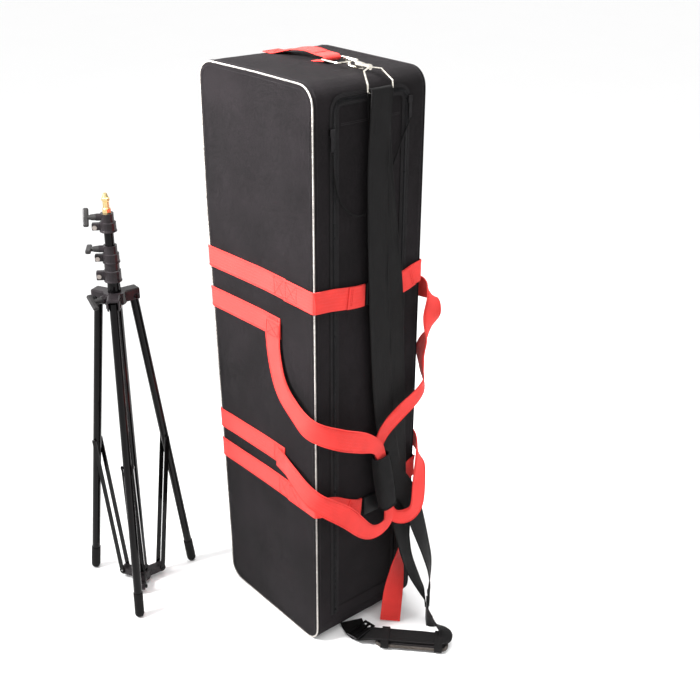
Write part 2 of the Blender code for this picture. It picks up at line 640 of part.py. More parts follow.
# ---------------------------------------------------------------- bag: end handle and snap hook
RING_Z = BAG_H + 0.0125
RING_X = (0.036, 0.084)
RING_Y = (-0.014, 0.034)
HOOK_AXIS_Y = 0.010
SWIVEL = (0.1395, HOOK_AXIS_Y, RING_Z)
EYE_DROP = (0.0310, -0.0370)         # swivel to the middle of the eye's bar, in x and z


def rounded_loop(corners, radius, steps=3):
    """Points round a flat loop whose corners are cut by short curves."""
    points = []
    count = len(corners)
    for i, corner in enumerate(corners):
        here = Vector(corner)
        before = (Vector(corners[i - 1]) - here).normalized() * radius
        after = (Vector(corners[(i + 1) % count]) - here).normalized() * radius
        for step in range(steps + 1):
            t = step / steps
            points.append(here + before * (1 - t) ** 2 + after * t ** 2)
    return points


def end_handle():
    y, width = HOOK_AXIS_Y, NARROW_WEBBING
    top = BAG_H + WEBBING_THICK / 2 + GAP
    route = [
        (-0.132, y - 0.004, top, 0, 0, 1, width), (-0.108, y - 0.003, top + 0.002, 0, 0, 1, width),
        (-0.060, y, top + 0.013, 0, 0, 1, width), (-0.020, y, top + 0.017, 0, 0, 1, width),
        (0.010, y, top + 0.014, 0, 0, 1, width), (0.030, y, RING_Z + 0.0040, 0, 0, 1, width),
        (0.036, y, RING_Z + 0.0042, 0, 0, 1, width), (0.0402, y, RING_Z, 1, 0, 0.1, width),
        (0.036, y, RING_Z - 0.0042, 0, 0, -1, width), (0.022, y, RING_Z - 0.0050, 0, 0, -1, width),
        (0.000, y, top + 0.0003, 0, 0, -1, width),
    ]
    piece("end_handle", RED_WEB, webbing(route))
    pivot = empty("end_ring_bar", (RING_X[0], y, RING_Z))
    corners = [(RING_X[0], RING_Y[0], RING_Z), (RING_X[1], RING_Y[0], RING_Z),
               (RING_X[1], RING_Y[1], RING_Z), (RING_X[0], RING_Y[1], RING_Z)]
    loop = [point - pivot.location for point in rounded_loop(corners, 0.006)]
    piece("end_ring", NICKEL, wire(loop, 0.0020, closed=True, resolution=1), parent=pivot)


def snap_hook():
    """Trigger snap hook on the end ring; its swivel eye hangs over the lid's top edge."""
    swivel = Vector(SWIVEL)
    pivot = empty("hook_swivel", swivel)
    tip = Matrix.Rotation(radians(40), 4, "X")
    outline = [(-0.012, 0, 0), (-0.026, 0, 0.0), (-0.036, 0, 0.0080), (-0.048, 0, 0.0118),
               (-0.058, 0, 0.0085), (-0.0635, 0, 0.0), (-0.059, 0, -0.0085), (-0.049, 0, -0.0115),
               (-0.040, 0, -0.0090)]
    bow = [Vector(point[0:3]) for point in smooth_route(outline, 2)]
    hook = wire(bow, 0.0026, resolution=2)
    barrel = rod(0.0042, (-0.016, 0, 0), (-0.0022, 0, 0))
    collar = rod(0.0058, (-0.030, 0, 0), (-0.014, 0, 0), 16, 0.0050)
    for solid in (hook, barrel, collar):
        solid.data.transform(tip)
    piece("hook_body", NICKEL, collar, [hook, barrel], parent=pivot)
    gate = rod(0.0020, (-0.0262, 0, -0.0078), (-0.0375, 0, -0.0098), 10)
    thumb = rod(0.0028, (-0.0290, 0, -0.0085), (-0.0290, 0, -0.0130), 10)
    combine(gate, [thumb], "UNION")
    gate.data.transform(tip)
    piece("hook_gate", NICKEL, gate, parent=pivot)
    post = rod(0.0050, (-0.0018, 0, 0), (0.0045, 0, 0))
    shoulder = [(0.0030, 0.003, -0.001), (0.0100, 0.020, -0.004), (0.0300, 0.0285, -0.022),
                (EYE_DROP[0], 0.0285, -0.0340), (EYE_DROP[0], 0.0225, EYE_DROP[1])]
    bar = shoulder + [(x, -y, z) for x, y, z in reversed(shoulder)]
    piece("hook_eye", NICKEL, post, [wire([Vector(p) for p in bar], 0.0020, True, 1)],
          parent=pivot)


# ---------------------------------------------------------------- bag: shoulder strap
EYE_BAR = (SWIVEL[0] + EYE_DROP[0], HOOK_AXIS_Y, SWIVEL[2] + EYE_DROP[1])
INNER_STRAND = [
    (0.2540, 0.0905, 0.0630, 0.65, 0.76, 0, STRAP), (0.2525, 0.0890, 0.0800, 0.65, 0.76, 0, STRAP),
    (0.2420, 0.0815, 0.1050, 0.75, 0.65, 0, STRAP),
    (0.2180, 0.0709, 0.157, 0.9, 0.45, 0, STRAP), (0.1930, 0.0740, 0.220, 1, 0.2, 0, STRAP),
    (0.1780, 0.0740, 0.2885, 1, 0, 0, STRAP), (0.1722, 0.0745, 0.350, 1, 0, 0, STRAP),
    (0.1712, 0.070, 0.440, 1, 0, 0, STRAP),
    (0.1712, 0.064, 0.540, 1, 0, 0, STRAP), (0.1712, 0.058, 0.660, 1, 0, 0, STRAP),
    (0.1712, 0.050, 0.780, 1, 0, 0, STRAP), (0.1700, 0.034, 0.900, 1, 0, 0, STRAP),
    (0.1680, 0.020, 1.020, 1, 0, 0, STRAP), (0.1660, 0.012, 1.110, 1, 0, 0, STRAP),
    (0.1655, HOOK_AXIS_Y, 1.146, 1, 0, 0, STRAP),
]
OUTER_STRAND = [
    (0.1755, HOOK_AXIS_Y, 1.146, 1, 0, 0, STRAP), (0.1745, 0.009, 1.110, 1, 0, 0, STRAP),
    (0.1735, 0.006, 1.020, 1, 0, 0, STRAP), (0.1750, 0.007, 0.900, 1, 0, 0, STRAP),
    (0.1760, 0.011, 0.780, 1, 0, 0, STRAP), (0.1760, 0.018, 0.660, 1, 0, 0, STRAP),
    (0.1760, 0.028, 0.540, 1, 0, 0, STRAP), (0.1762, 0.042, 0.440, 1, 0, 0, STRAP),
    (0.1768, 0.060, 0.360, 1, 0, 0, STRAP), (0.1800, 0.0850, 0.316, 1, 0, 0, STRAP),
    (0.1845, 0.1050, 0.277, 1, 0.1, 0, STRAP), (0.2000, 0.1210, 0.202, 0.95, 0.3, 0, STRAP),
    (0.2280, 0.1217, 0.1395, 0.85, 0.5, 0, STRAP), (0.2480, 0.1090, 0.100, 0.7, 0.7, 0, STRAP),
    (0.2575, 0.0975, 0.0800, 0.65, 0.76, 0, STRAP), (0.2590, 0.0960, 0.0630, 0.65, 0.76, 0, STRAP),
]
PAD_ENDS = ((0.2290, -0.0290), (0.3430, 0.0785))
GLIDE_AT = (0.2565, 0.0965, 0.0305)
ADJUSTER_AT = (0.1990, -0.0430, 0.0160)


def shoulder_strap():
    """Doubled strap from the snap hook to its glide, then through the pad to the bag's foot."""
    x, y, z = EYE_BAR
    inner = INNER_STRAND
    outer = [(*s[:3], -s[3], -s[4], s[5], s[6]) for s in OUTER_STRAND]
    crown = [(x - 0.0042, y, z + 0.0040, 0.7, 0, -0.7, STRAP),
             (x, y, z + 0.0056, 0, 0, -1, STRAP),
             (x + 0.0042, y, z + 0.0040, -0.7, 0, -0.7, STRAP)]
    piece("shoulder_strap", BLACK_WEB, webbing(inner + crown + outer, 2))
    (near_x, near_y), (far_x, far_y) = PAD_ENDS
    along = Vector((far_x - near_x, far_y - near_y, 0))
    turn = atan2(along.y, along.x)
    middle = Vector(((near_x + far_x) / 2, (near_y + far_y) / 2, 0.0090))
    pad_frame = empty("shoulder_pad_axis", middle, (0, 0, turn))
    pad = block((along.length, 0.056, 0.0170), (0, 0, 0), 0.0, 0.005, 2)
    channel = block((along.length + 0.04, 0.052, 0.0034), (0, 0, 0.0015))
    piece("shoulder_pad", PAD_CLOTH, pad, [], [channel], parent=pad_frame)
    step = along.normalized()
    lift = 0.0105
    from_glide = [
        (0.2710, 0.0843, 0.0300, 0.64, 0.77, 0, STRAP), (0.2860, 0.0830, 0.0290, 0.2, 0.95, 0.2, 0.044),
        (0.3030, 0.0930, 0.0260, -0.3, 0.9, 0.5, 0.034), (0.3230, 0.1070, 0.0210, -0.1, 0.3, 0.9, 0.026),
        (0.3440, 0.1090, 0.0150, 0, 0, 1, 0.022), (0.3570, 0.1000, 0.0115, 0, 0, 1, 0.022),
        (0.3545, 0.0890, 0.0106, 0, 0, 1, 0.028),
    ]
    through_pad = [(*(middle + step * along.length * part).xy, lift, 0, 0, 1, STRAP)
                   for part in (0.5, 0.2, -0.2, -0.5)]
    to_bag = [
        (0.2010, -0.0440, 0.0080, 0, 0, 1, STRAP),
        (0.1760, -0.0400, 0.0032, 0, 0, 1, STRAP),
        (0.1500, -0.0300, 0.0022, 0, 0, 1, STRAP),
    ]
    piece("shoulder_strap_pad_run", BLACK_WEB, webbing(from_glide + through_pad + to_bag))


def ladder_buckle(name, finish, size, thickness, at, turn):
    """Flat frame with a middle bar, threaded by a strap."""
    length, height = size
    frame = block((length, thickness, height), (0, 0, 0), 0.0, thickness * 0.3, 1)
    slot = (length / 2 - 0.0075, thickness + 0.02, height - 0.010)
    cuts = [block(slot, (way * (slot[0] / 2 + 0.0025), 0, 0)) for way in (-1, 1)]
    pivot = empty(name + "_frame", at, turn)
    piece(name, finish, frame, [], cuts, parent=pivot)


def strap_hardware():
    ladder_buckle("strap_glide", PLASTIC, (0.030, 0.060), 0.0040, GLIDE_AT, (0, 0, radians(-40)))
    ladder_buckle("slide_adjuster", NICKEL, (0.028, 0.060), 0.0032, ADJUSTER_AT,
                  (radians(90), 0, radians(8)))


def red_tail():
    """Spare end of the lower compression strap, hanging to the floor with a twist."""
    route = [(0.1650, 0.0860, 0.270, 1, 0, 0, WEBBING), (0.1690, 0.0880, 0.235, 1, 0.3, 0, WEBBING),
             (0.1765, 0.0850, 0.180, 0.75, 0.66, 0, WEBBING), (0.1850, 0.0700, 0.120, 0.98, 0.1, 0, WEBBING),
             (0.1950, 0.0510, 0.062, 0.85, -0.5, 0, WEBBING), (0.2055, 0.0345, 0.0045, 0.76, -0.65, 0, WEBBING)]
    piece("lower_strap_tail", RED_WEB, webbing(route))


# ---------------------------------------------------------------- bag: zip sliders and cord
SLIDERS = (("left", LID_Y[0] - 0.0072, 1.097), ("right", LID_Y[1] + 0.0072, 1.130))
CORD_RADIUS = 0.0015


def zip_sliders():
    for name, y, z in SLIDERS:
        base = empty(f"zip_{name}_at", (SIDE_X, y, z))
        body = block((0.0050, 0.0100, 0.0130), (0.0003 + 0.0025, 0, 0), 0.0, 0.001, 1)
        pull = block((0.0018, 0.0070, 0.0280), (0.0003 + 0.0041, 0, -0.0190), 0.0, 0.0005, 1)
        piece(f"zip_slider_{name}", NICKEL, body, [pull], parent=base)


CORD_ROUTE = [
    (0.1650, -0.0912, 1.0605), (0.1652, -0.0910, 1.050), (0.1650, -0.0885, 1.020),
    (0.1645, -0.0800, 0.985), (0.1640, -0.0620, 0.955), (0.1640, -0.0390, 0.938),
    (0.1640, -0.0150, 0.937), (0.1640, 0.0080, 0.952), (0.1640, 0.0300, 0.980),
    (0.1640, 0.0520, 1.020), (0.1643, 0.0700, 1.060), (0.1650, 0.0830, 1.085),
    (0.1650, 0.0892, 1.0935),
]


def pull_cord():
    points = [Vector(p) for p in smooth_route(CORD_ROUTE, 3)]
    piece("zip_pull_cord", BLACK_WEB, wire(points, CORD_RADIUS, resolution=2))


column()
bottom_casting()
clamps()
spigot()
spider()
for index, way in enumerate(LEG_AZIMUTHS, 1):
    leg(index, way)
    brace(index, way)
bag_shell()
bag_lid()
crossbars()
compression_straps()
carry_straps()
carry_handles()
end_handle()
snap_hook()
shoulder_strap()
strap_hardware()
red_tail()
zip_sliders()
pull_cord()
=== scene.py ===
"""Looks of a background support kit: a folding light stand beside its tall carry bag.

Metres, +Z up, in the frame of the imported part: the origin is the centre of the bag's base.
"""
from bisect import bisect_left
from math import cos, hypot, pi, radians, sin

import bmesh
import bpy
from mathutils import Matrix, Vector, noise


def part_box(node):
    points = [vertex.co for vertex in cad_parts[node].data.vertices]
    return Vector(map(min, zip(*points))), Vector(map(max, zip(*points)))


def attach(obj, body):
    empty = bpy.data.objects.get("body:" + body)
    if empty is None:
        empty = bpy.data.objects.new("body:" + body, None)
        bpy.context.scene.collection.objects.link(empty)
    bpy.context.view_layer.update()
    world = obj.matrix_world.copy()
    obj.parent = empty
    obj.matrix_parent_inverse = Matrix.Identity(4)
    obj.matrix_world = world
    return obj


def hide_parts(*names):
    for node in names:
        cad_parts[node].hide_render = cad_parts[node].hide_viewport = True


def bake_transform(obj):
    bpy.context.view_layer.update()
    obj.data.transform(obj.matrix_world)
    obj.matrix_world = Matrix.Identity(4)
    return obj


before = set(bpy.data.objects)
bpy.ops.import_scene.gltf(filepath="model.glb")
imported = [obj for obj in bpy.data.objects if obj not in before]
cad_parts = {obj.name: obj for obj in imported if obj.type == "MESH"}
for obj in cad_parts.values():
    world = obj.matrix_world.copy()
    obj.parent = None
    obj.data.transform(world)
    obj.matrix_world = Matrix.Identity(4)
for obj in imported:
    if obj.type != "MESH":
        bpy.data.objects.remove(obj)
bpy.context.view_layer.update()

# ---------------------------------------------------------------- camera, light and floor
CAMERA_AT = (1.559, -1.228, 1.564)
CAMERA_TURN = (radians(49.81), radians(25.99), radians(0.34))    # azimuth, elevation, roll
CAMERA_LENS = 55.04
SCENE_MIDDLE = Vector((0.0, -0.1, 0.55))


def add_object(name, data):
    made = bpy.data.objects.new(name, data)
    bpy.context.scene.collection.objects.link(made)
    return made


def place_camera():
    azimuth, elevation, roll = CAMERA_TURN
    data = bpy.data.cameras.new("camera")
    data.lens, data.sensor_width = CAMERA_LENS, 36.0
    camera = add_object("camera", data)
    turn = Matrix.Rotation(azimuth, 4, "Z") @ Matrix.Rotation(pi / 2 - elevation, 4, "X")
    camera.matrix_world = Matrix.Translation(CAMERA_AT) @ turn @ Matrix.Rotation(roll, 4, "Z")
    bpy.context.scene.camera = camera


def softbox(name, at, size, power, towards=SCENE_MIDDLE, spread=180):
    data = bpy.data.lights.new(name, "AREA")
    data.shape, data.size, data.size_y = "RECTANGLE", *size
    data.energy, data.spread = power, radians(spread)
    light = add_object(name, data)
    light.location = at
    light.rotation_euler = (Vector(at) - towards).to_track_quat("Z", "Y").to_euler()


def light_studio():
    world = bpy.data.worlds.new("studio")
    world.use_nodes = True
    world.node_tree.nodes["Background"].inputs["Color"].default_value = (1, 1, 1, 1)
    world.node_tree.nodes["Background"].inputs["Strength"].default_value = 1.05
    bpy.context.scene.world = world
    bpy.context.scene.view_settings.view_transform = "Standard"
    softbox("key", (-0.7, -1.9, 2.5), (0.7, 0.9), 34, Vector((0.0, -0.1, 1.15)), 50)
    softbox("overhead", (0.2, 0.4, 3.0), (1.8, 1.8), 46)
    softbox("side", (2.6, 0.7, 1.6), (0.5, 1.6), 12)


def lay_floor():
    bm = bmesh.new()
    bmesh.ops.create_grid(bm, x_segments=1, y_segments=1, size=12)
    mesh = bpy.data.meshes.new("floor")
    bm.to_mesh(mesh)
    mesh.materials.append(MATERIALS["floor"])
    add_object("floor", mesh)


# ---------------------------------------------------------------- materials
class Shader:
    """A Principled material and short ways to add nodes to it."""

    def __init__(self, name, colour, roughness, metallic=0.0, **inputs):
        self.made = bpy.data.materials.new(name)
        self.made.use_nodes = True
        self.tree = self.made.node_tree
        self.skin = self.tree.nodes["Principled BSDF"]
        self.skin.inputs["Base Color"].default_value = (*colour, 1)
        self.skin.inputs["Roughness"].default_value = roughness
        self.skin.inputs["Metallic"].default_value = metallic
        for key, value in inputs.items():
            self.skin.inputs[key.replace("_", " ")].default_value = value
        self.colour = colour
        self.bump = None

    def node(self, kind, **values):
        made = self.tree.nodes.new(kind)
        for key, value in values.items():
            if key in made.inputs:
                made.inputs[key].default_value = value
            else:
                setattr(made, key, value)
        return made

    def link(self, source, target):
        self.tree.links.new(source, target)

    def math(self, operation, *values):
        made = self.node("ShaderNodeMath", operation=operation)
        for slot, value in enumerate(values):
            if isinstance(value, (int, float)):
                made.inputs[slot].default_value = value
            else:
                self.link(value, made.inputs[slot])
        return made.outputs[0]

    def mix(self, first, second, share):
        """Sum of two values, the first weighted by share and the second by what is left."""
        return self.math("ADD", self.math("MULTIPLY", first, share),
                         self.math("MULTIPLY", second, round(1 - share, 3)))

    def coordinates(self, kind="Object", scale=(1, 1, 1)):
        source = self.node("ShaderNodeTexCoord")
        mapping = self.node("ShaderNodeMapping")
        mapping.inputs["Scale"].default_value = scale
        self.link(source.outputs[kind], mapping.inputs["Vector"])
        return mapping.outputs["Vector"]

    def noise(self, size, detail=3.0, scale=(1, 1, 1)):
        """Noise whose lumps are about size metres."""
        made = self.node("ShaderNodeTexNoise", Scale=1.0 / size, Detail=detail)
        self.link(self.coordinates("Object", scale), made.inputs["Vector"])
        return made.outputs["Fac"]

    def tint(self, value, dark, light, start=0.35, end=0.65):
        """The base colour times dark where value is at start, up to times light at end."""
        made = self.node("ShaderNodeValToRGB")
        for stop, place, share in zip(made.color_ramp.elements, (start, end), (dark, light)):
            stop.position = place
            stop.color = (*(min(c * share, 1.0) for c in self.colour), 1)
        self.link(value, made.inputs["Fac"])
        self.link(made.outputs["Color"], self.skin.inputs["Base Color"])

    def roughness(self, value, low, high):
        made = self.node("ShaderNodeMapRange")
        made.inputs["To Min"].default_value = low
        made.inputs["To Max"].default_value = high
        self.link(value, made.inputs["Value"])
        self.link(made.outputs["Result"], self.skin.inputs["Roughness"])

    def raise_by(self, height, distance):
        """Adds a bump whose full height is distance metres."""
        made = self.node("ShaderNodeBump", Strength=1.0, Distance=distance)
        self.link(height, made.inputs["Height"])
        if self.bump:
            self.link(self.bump, made.inputs["Normal"])
        self.bump = made.outputs["Normal"]
        self.link(self.bump, self.skin.inputs["Normal"])


DULL = 0.12                  # share of the usual gloss that cloth, webbing and paint keep


def woven(name, colour, pitch=0.0009, sheen=0.12, rough=0.82):
    """Plain-woven nylon: threads along all three axes, slubs, and slow fading."""
    made = Shader(name, colour, rough, Sheen_Weight=sheen, Sheen_Roughness=0.45,
                  Specular_IOR_Level=DULL)
    split = made.node("ShaderNodeSeparateXYZ")
    made.link(made.coordinates(scale=(2 * pi / pitch,) * 3), split.inputs[0])
    waves = [made.math("SINE", split.outputs[axis]) for axis in range(3)]
    crossings = [made.math("MULTIPLY", waves[a], waves[b]) for a, b in ((0, 2), (1, 2), (0, 1))]
    weave = made.math("ADD", made.math("ADD", crossings[0], crossings[1]), crossings[2])
    slub = made.noise(0.005, 4.0, (1, 1, 2))
    fade = made.noise(0.12, 5.0)
    made.tint(made.mix(fade, slub, 0.5), 0.55, 1.6, 0.38, 0.62)
    made.roughness(slub, rough - 0.08, rough + 0.08)
    made.raise_by(weave, pitch * 0.24)
    made.raise_by(made.noise(0.018, 3.0), 0.0009)
    return made.made


def webbing_finish(name, colour, sheen=0.1, rough=0.66, dark=0.78):
    """Herringbone webbing; the UV map is across and along the strap, in metres."""
    made = Shader(name, colour, rough, Sheen_Weight=sheen, Sheen_Roughness=0.4,
                  Specular_IOR_Level=DULL)
    split = made.node("ShaderNodeSeparateXYZ")
    made.link(made.coordinates("UV"), split.inputs[0])
    across, along = split.outputs[0], split.outputs[1]
    chevron = made.math("PINGPONG", across, 0.0032)
    slanted = made.math("ADD", along, chevron)
    picks = made.math("SINE", made.math("MULTIPLY", slanted, 2 * pi / 0.0017))
    ends = made.math("SINE", made.math("MULTIPLY", across, 2 * pi / 0.0011))
    weave = made.mix(picks, ends, 0.7)
    wear = made.noise(0.03, 5.0)
    lifted = made.math("MULTIPLY", made.math("ADD", weave, 1.0), 0.5)
    made.tint(made.mix(lifted, wear, 0.45), dark, 1.12, 0.25, 0.75)
    made.roughness(wear, rough - 0.07, rough + 0.1)
    made.raise_by(weave, 0.00028)
    return made.made


def moulded(name, colour, rough, grain=0.00006, coat=0.0, metallic=0.0, lump=0.0012):
    """Painted or moulded surface with a fine grain and uneven gloss."""
    made = Shader(name, colour, rough, metallic, Coat_Weight=coat, Coat_Roughness=0.08,
                  Coat_IOR=1.35, Specular_IOR_Level=DULL)
    made.tint(made.noise(0.02, 4.0), 0.8, 1.25)
    made.roughness(made.noise(0.008, 5.0), max(rough - 0.08, 0.05), rough + 0.12)
    made.raise_by(made.noise(lump, 2.0), grain)
    return made.made


def bare_metal(name, colour, rough, streak=(1, 1, 12), scratch=0.00002):
    """Plated or turned metal, with fine marks drawn out along one axis and dull patches."""
    made = Shader(name, colour, rough, 1.0)
    marks = made.noise(0.004, 4.0, streak)
    made.tint(made.noise(0.01, 4.0), 0.82, 1.08)
    made.roughness(marks, max(rough - 0.08, 0.05), rough + 0.16)
    made.raise_by(marks, scratch)
    return made.made


def plain_floor():
    made = Shader("pale_floor", (0.93, 0.93, 0.93), 0.7)
    made.tint(made.noise(0.6, 2.0), 0.995, 1.0)
    return made.made


RED = (0.77, 0.048, 0.041)
MATERIALS = {
    "floor": plain_floor(),
    "bag_cloth": woven("bag_cloth", (0.0076, 0.0058, 0.0068), sheen=0.01),
    "lining": woven("bag_lining", (0.045, 0.043, 0.045), 0.0012, 0.05, 0.75),
    "piping": woven("white_piping", (0.4, 0.375, 0.35), 0.0011, 0.1, 0.6),
    "red_webbing": webbing_finish("red_webbing", RED, 0.06),
    "black_webbing": webbing_finish("black_webbing", (0.0038, 0.0034, 0.0036), 0.01, 0.6, 0.6),
    "zip_tape": webbing_finish("zip_tape", (0.0065, 0.006, 0.0065), 0.03, 0.7, 0.7),
    "zip_coil": moulded("zip_coil", (0.01, 0.01, 0.011), 0.28, 0.00002),
    "red_thread": moulded("red_thread", (0.5, 0.022, 0.019), 0.6, 0.00004, 0.0, 0.0, 0.0004),
    "black_thread": moulded("black_thread", (0.03, 0.027, 0.029), 0.6, 0.00004, 0.0, 0.0, 0.0004),
    "grip": woven("grip_wrap", (0.0055, 0.005, 0.0053), 0.0016, 0.03, 0.9),
    "pad_cloth": woven("pad_cloth", (0.009, 0.0075, 0.008), 0.0014, 0.05, 0.8),
    "pad_edge": woven("pad_binding", (0.06, 0.05, 0.043), 0.0012, 0.1, 0.8),
    "black_tube": moulded("black_tube", (0.0022, 0.002, 0.0022), 0.12, 0.00001, 0.12, 0.0, 0.01),
    "casting": moulded("dark_casting", (0.017, 0.014, 0.0155), 0.34, 0.0001, 0.3, 0.2),
    "knob_plastic": moulded("grey_knob", (0.024, 0.023, 0.023), 0.42, 0.00006),
    "buckle_plastic": moulded("buckle_plastic", (0.006, 0.0065, 0.007), 0.33, 0.00005),
    "rubber": moulded("black_rubber", (0.005, 0.0047, 0.0047), 0.6, 0.00012),
    "brass": bare_metal("turned_brass", (0.8, 0.62, 0.3), 0.3, (1, 1, 14)),
    "bright_steel": bare_metal("bolt_steel", (0.42, 0.37, 0.34), 0.34),
    "nickel": bare_metal("plated_nickel", (0.86, 0.81, 0.72), 0.2, (3, 3, 3)),
    "dark_metal": bare_metal("black_zip_metal", (0.022, 0.021, 0.022), 0.38, (3, 3, 3)),
    "crossbar_aluminium": bare_metal("drawn_aluminium", (0.68, 0.69, 0.71), 0.32, (14, 14, 1)),
}

place_camera()
light_studio()
lay_floor()


# ---------------------------------------------------------------- shapes
LEAN = Vector((-0.0115, -0.0105, 0))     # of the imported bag's front left edge, at its top


def fullness(point):
    """How far a point on the bag is pushed out by the load."""
    left = min(max(-point.x / SIDE_X, 0.0), 1.1)
    front = min(max((BACK_Y - point.y) / (BACK_Y - FRONT_Y), 0.0), 1.05)
    rise = min(max((point.z - 0.1) / 0.8, 0.0), 1.0)
    return LEAN * left * front * rise


def mesh_object(name, bm, finish, filled=True):
    """The mesh as an object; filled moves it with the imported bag's lean."""
    if filled:
        for vertex in bm.verts:
            vertex.co += fullness(vertex.co)
    mesh = bpy.data.meshes.new(name)
    bmesh.ops.recalc_face_normals(bm, faces=bm.faces)
    bm.to_mesh(mesh)
    bm.free()
    mesh.materials.append(MATERIALS[finish])
    mesh.shade_smooth()
    mesh.set_sharp_from_angle(angle=radians(50))
    return add_object(name, mesh)


def add_piece(made, body, node=None):
    """Puts a piece on its body, in place of a solid of the part where one is named."""
    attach(made, body)
    if node:
        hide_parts(node)


def thread_piece(name, bm, body, finish="red_thread"):
    add_piece(mesh_object(name, bm, finish), body)


def fill_grid(bm, grid):
    """Faces between neighbouring rows of vertices."""
    for one, two in zip(grid, grid[1:]):
        for j in range(len(one) - 1):
            bm.faces.new((one[j], two[j], two[j + 1], one[j + 1]))


def join_rings(bm, one, two):
    """Faces between two closed rings of vertices."""
    return [bm.faces.new((one[k - 1], one[k], two[k], two[k - 1]))
            for k in (*range(1, len(one)), 0)]


def smooth_route(stations, steps):
    """Catmull-Rom samples through stations, each a tuple of numbers of one length."""
    ends = [stations[0]] + list(stations) + [stations[-1]]
    route = []
    for i in range(1, len(ends) - 2):
        p0, p1, p2, p3 = (Vector(ends[j]) for j in (i - 1, i, i + 1, i + 2))
        for step in range(steps):
            t = step / steps
            route.append(0.5 * (2 * p1 + (p2 - p0) * t + (2 * p0 - 5 * p1 + 4 * p2 - p3) * t ** 2
                                + (3 * p1 - p0 - 3 * p2 + p3) * t ** 3))
    route.append(Vector(stations[-1]))
    return route


def add_tube(bm, points, radius, sides=8, closed=False, taper=None):
    """A round tube along the points; taper gives each point's share of the radius."""
    rings, count = [], len(points)
    normal = None
    for i, point in enumerate(points):
        before = points[i - 1] if closed or i else points[0]
        after = points[(i + 1) % count] if closed or i < count - 1 else points[-1]
        along = (after - before).normalized()
        if normal is None:
            normal = along.orthogonal().normalized()
        normal = (normal - along * normal.dot(along)).normalized()
        other = along.cross(normal)
        size = radius * (taper[i] if taper else 1.0)
        rings.append([bm.verts.new(point + size * (normal * cos(a) + other * sin(a)))
                      for a in (2 * pi * k / sides for k in range(sides))])
    pairs = list(zip(rings, rings[1:])) + ([(rings[-1], rings[0])] if closed else [])
    for one, two in pairs:
        join_rings(bm, one, two)
    if not closed:
        bm.faces.new(rings[0][::-1])
        bm.faces.new(rings[-1])


STITCH_LENGTH = 0.003
STITCH_GAP = 0.0012
STITCH_RADIUS = 0.00042


def add_stitches(bm, place, length, lift=0.0):
    """Stitches in a row; place(s) gives the point and the way up at a distance s along it."""
    s = STITCH_GAP
    while s + STITCH_LENGTH < length:
        points = []
        for part, rise in ((0, 0.0), (0.2, 0.8), (0.8, 0.8), (1, 0.0)):
            point, up = place(s + part * STITCH_LENGTH)
            points.append(point + up * (lift + rise * STITCH_RADIUS))
        add_tube(bm, points, STITCH_RADIUS, 5, taper=(0.5, 1, 1, 0.5))
        s += STITCH_LENGTH + STITCH_GAP


def distances(points):
    """How far along their line each of the points is."""
    marks = [0.0]
    for one, two in zip(points, points[1:]):
        marks.append(marks[-1] + (two - one).length)
    return marks


def locate(marks, along):
    """The stretch between two marks that a distance falls in, and the share of it behind."""
    i = min(max(bisect_left(marks, along) - 1, 0), len(marks) - 2)
    span = marks[i + 1] - marks[i]
    return i, min(max((along - marks[i]) / span, 0.0), 1.0) if span else 0.0


def between(values, i, t):
    return values[i].lerp(values[i + 1], t)


class Strap:
    """A flat strap: where it is and which way it faces, at any distance along it.

    A station is a place, a facing and a width, which may be left out where it is the usual one.
    """

    def __init__(self, stations, width, steps=8, thickness=0.0021, wave=0.0, seed=0.0):
        samples = smooth_route([(*station, width)[:7] for station in stations], steps)
        self.centres = [Vector(sample[0:3]) for sample in samples]
        self.widths = [sample[6] for sample in samples]
        self.marks = distances(self.centres)
        self.length, self.half = self.marks[-1], thickness / 2
        self.normals, self.sides = [], []
        last = len(samples) - 1
        for i, sample in enumerate(samples):
            along = self.centres[min(i + 1, last)] - self.centres[max(i - 1, 0)]
            self.sides.append(along.cross(Vector(sample[3:6])).normalized())
            self.normals.append(self.sides[i].cross(along).normalized())
        self.wave, self.seed = wave, seed

    def ripple(self, along, across):
        """Slow waviness of the webbing, more at its edges; none where it starts or ends."""
        near_end = min(along, self.length - along, 0.03) / 0.03
        swing = noise.noise(Vector((along * 14, across * 30, self.seed)))
        return self.wave * swing * near_end

    def at(self, along, across=0.0, lift=0.0):
        """Point on the strap and its normal; across is from -1 to 1, lift is off its middle."""
        along = min(max(along, 0.0), self.length)
        i, t = locate(self.marks, along)
        normal = between(self.normals, i, t).normalized()
        width = self.widths[i] * (1 - t) + self.widths[i + 1] * t
        aside = between(self.sides, i, t) * (across * width / 2)
        height = lift + self.ripple(along, across)
        return between(self.centres, i, t) + aside + normal * height, normal

    def build(self, name, finish, start=0.0, end=None):
        """The strap's own mesh, with thick selvedges and a UV map in metres."""
        end = self.length if end is None else end
        outline = [(-1, 0), (-0.985, 0.8), (-0.93, 1.15), (-0.86, 0.95), (-0.5, 1), (0, 1),
                   (0.5, 1), (0.86, 0.95), (0.93, 1.15), (0.985, 0.8), (1, 0)]
        outline += [(u, -h) for u, h in reversed(outline[1:-1])]
        marks = [start] + [m for m in self.marks if start + 0.001 < m < end - 0.001] + [end]
        bm = bmesh.new()
        grid = bm.loops.layers.uv.new("UVMap")
        rings = [[bm.verts.new(self.at(m, u, h * self.half)[0]) for u, h in outline] for m in marks]
        for one, two, low, high in zip(rings, rings[1:], marks, marks[1:]):
            sides = zip(join_rings(bm, one, two), outline, outline[1:] + outline[:1])
            for face, near, far in sides:
                corners = ((near, low), (far, low), (far, high), (near, high))
                for loop, (point, along) in zip(face.loops, corners):
                    loop[grid].uv = (point[0] * self.widths[0] / 2, along)
        for ring in (rings[0][::-1], rings[-1]):
            bm.faces.new(ring)
        return mesh_object(name, bm, finish)


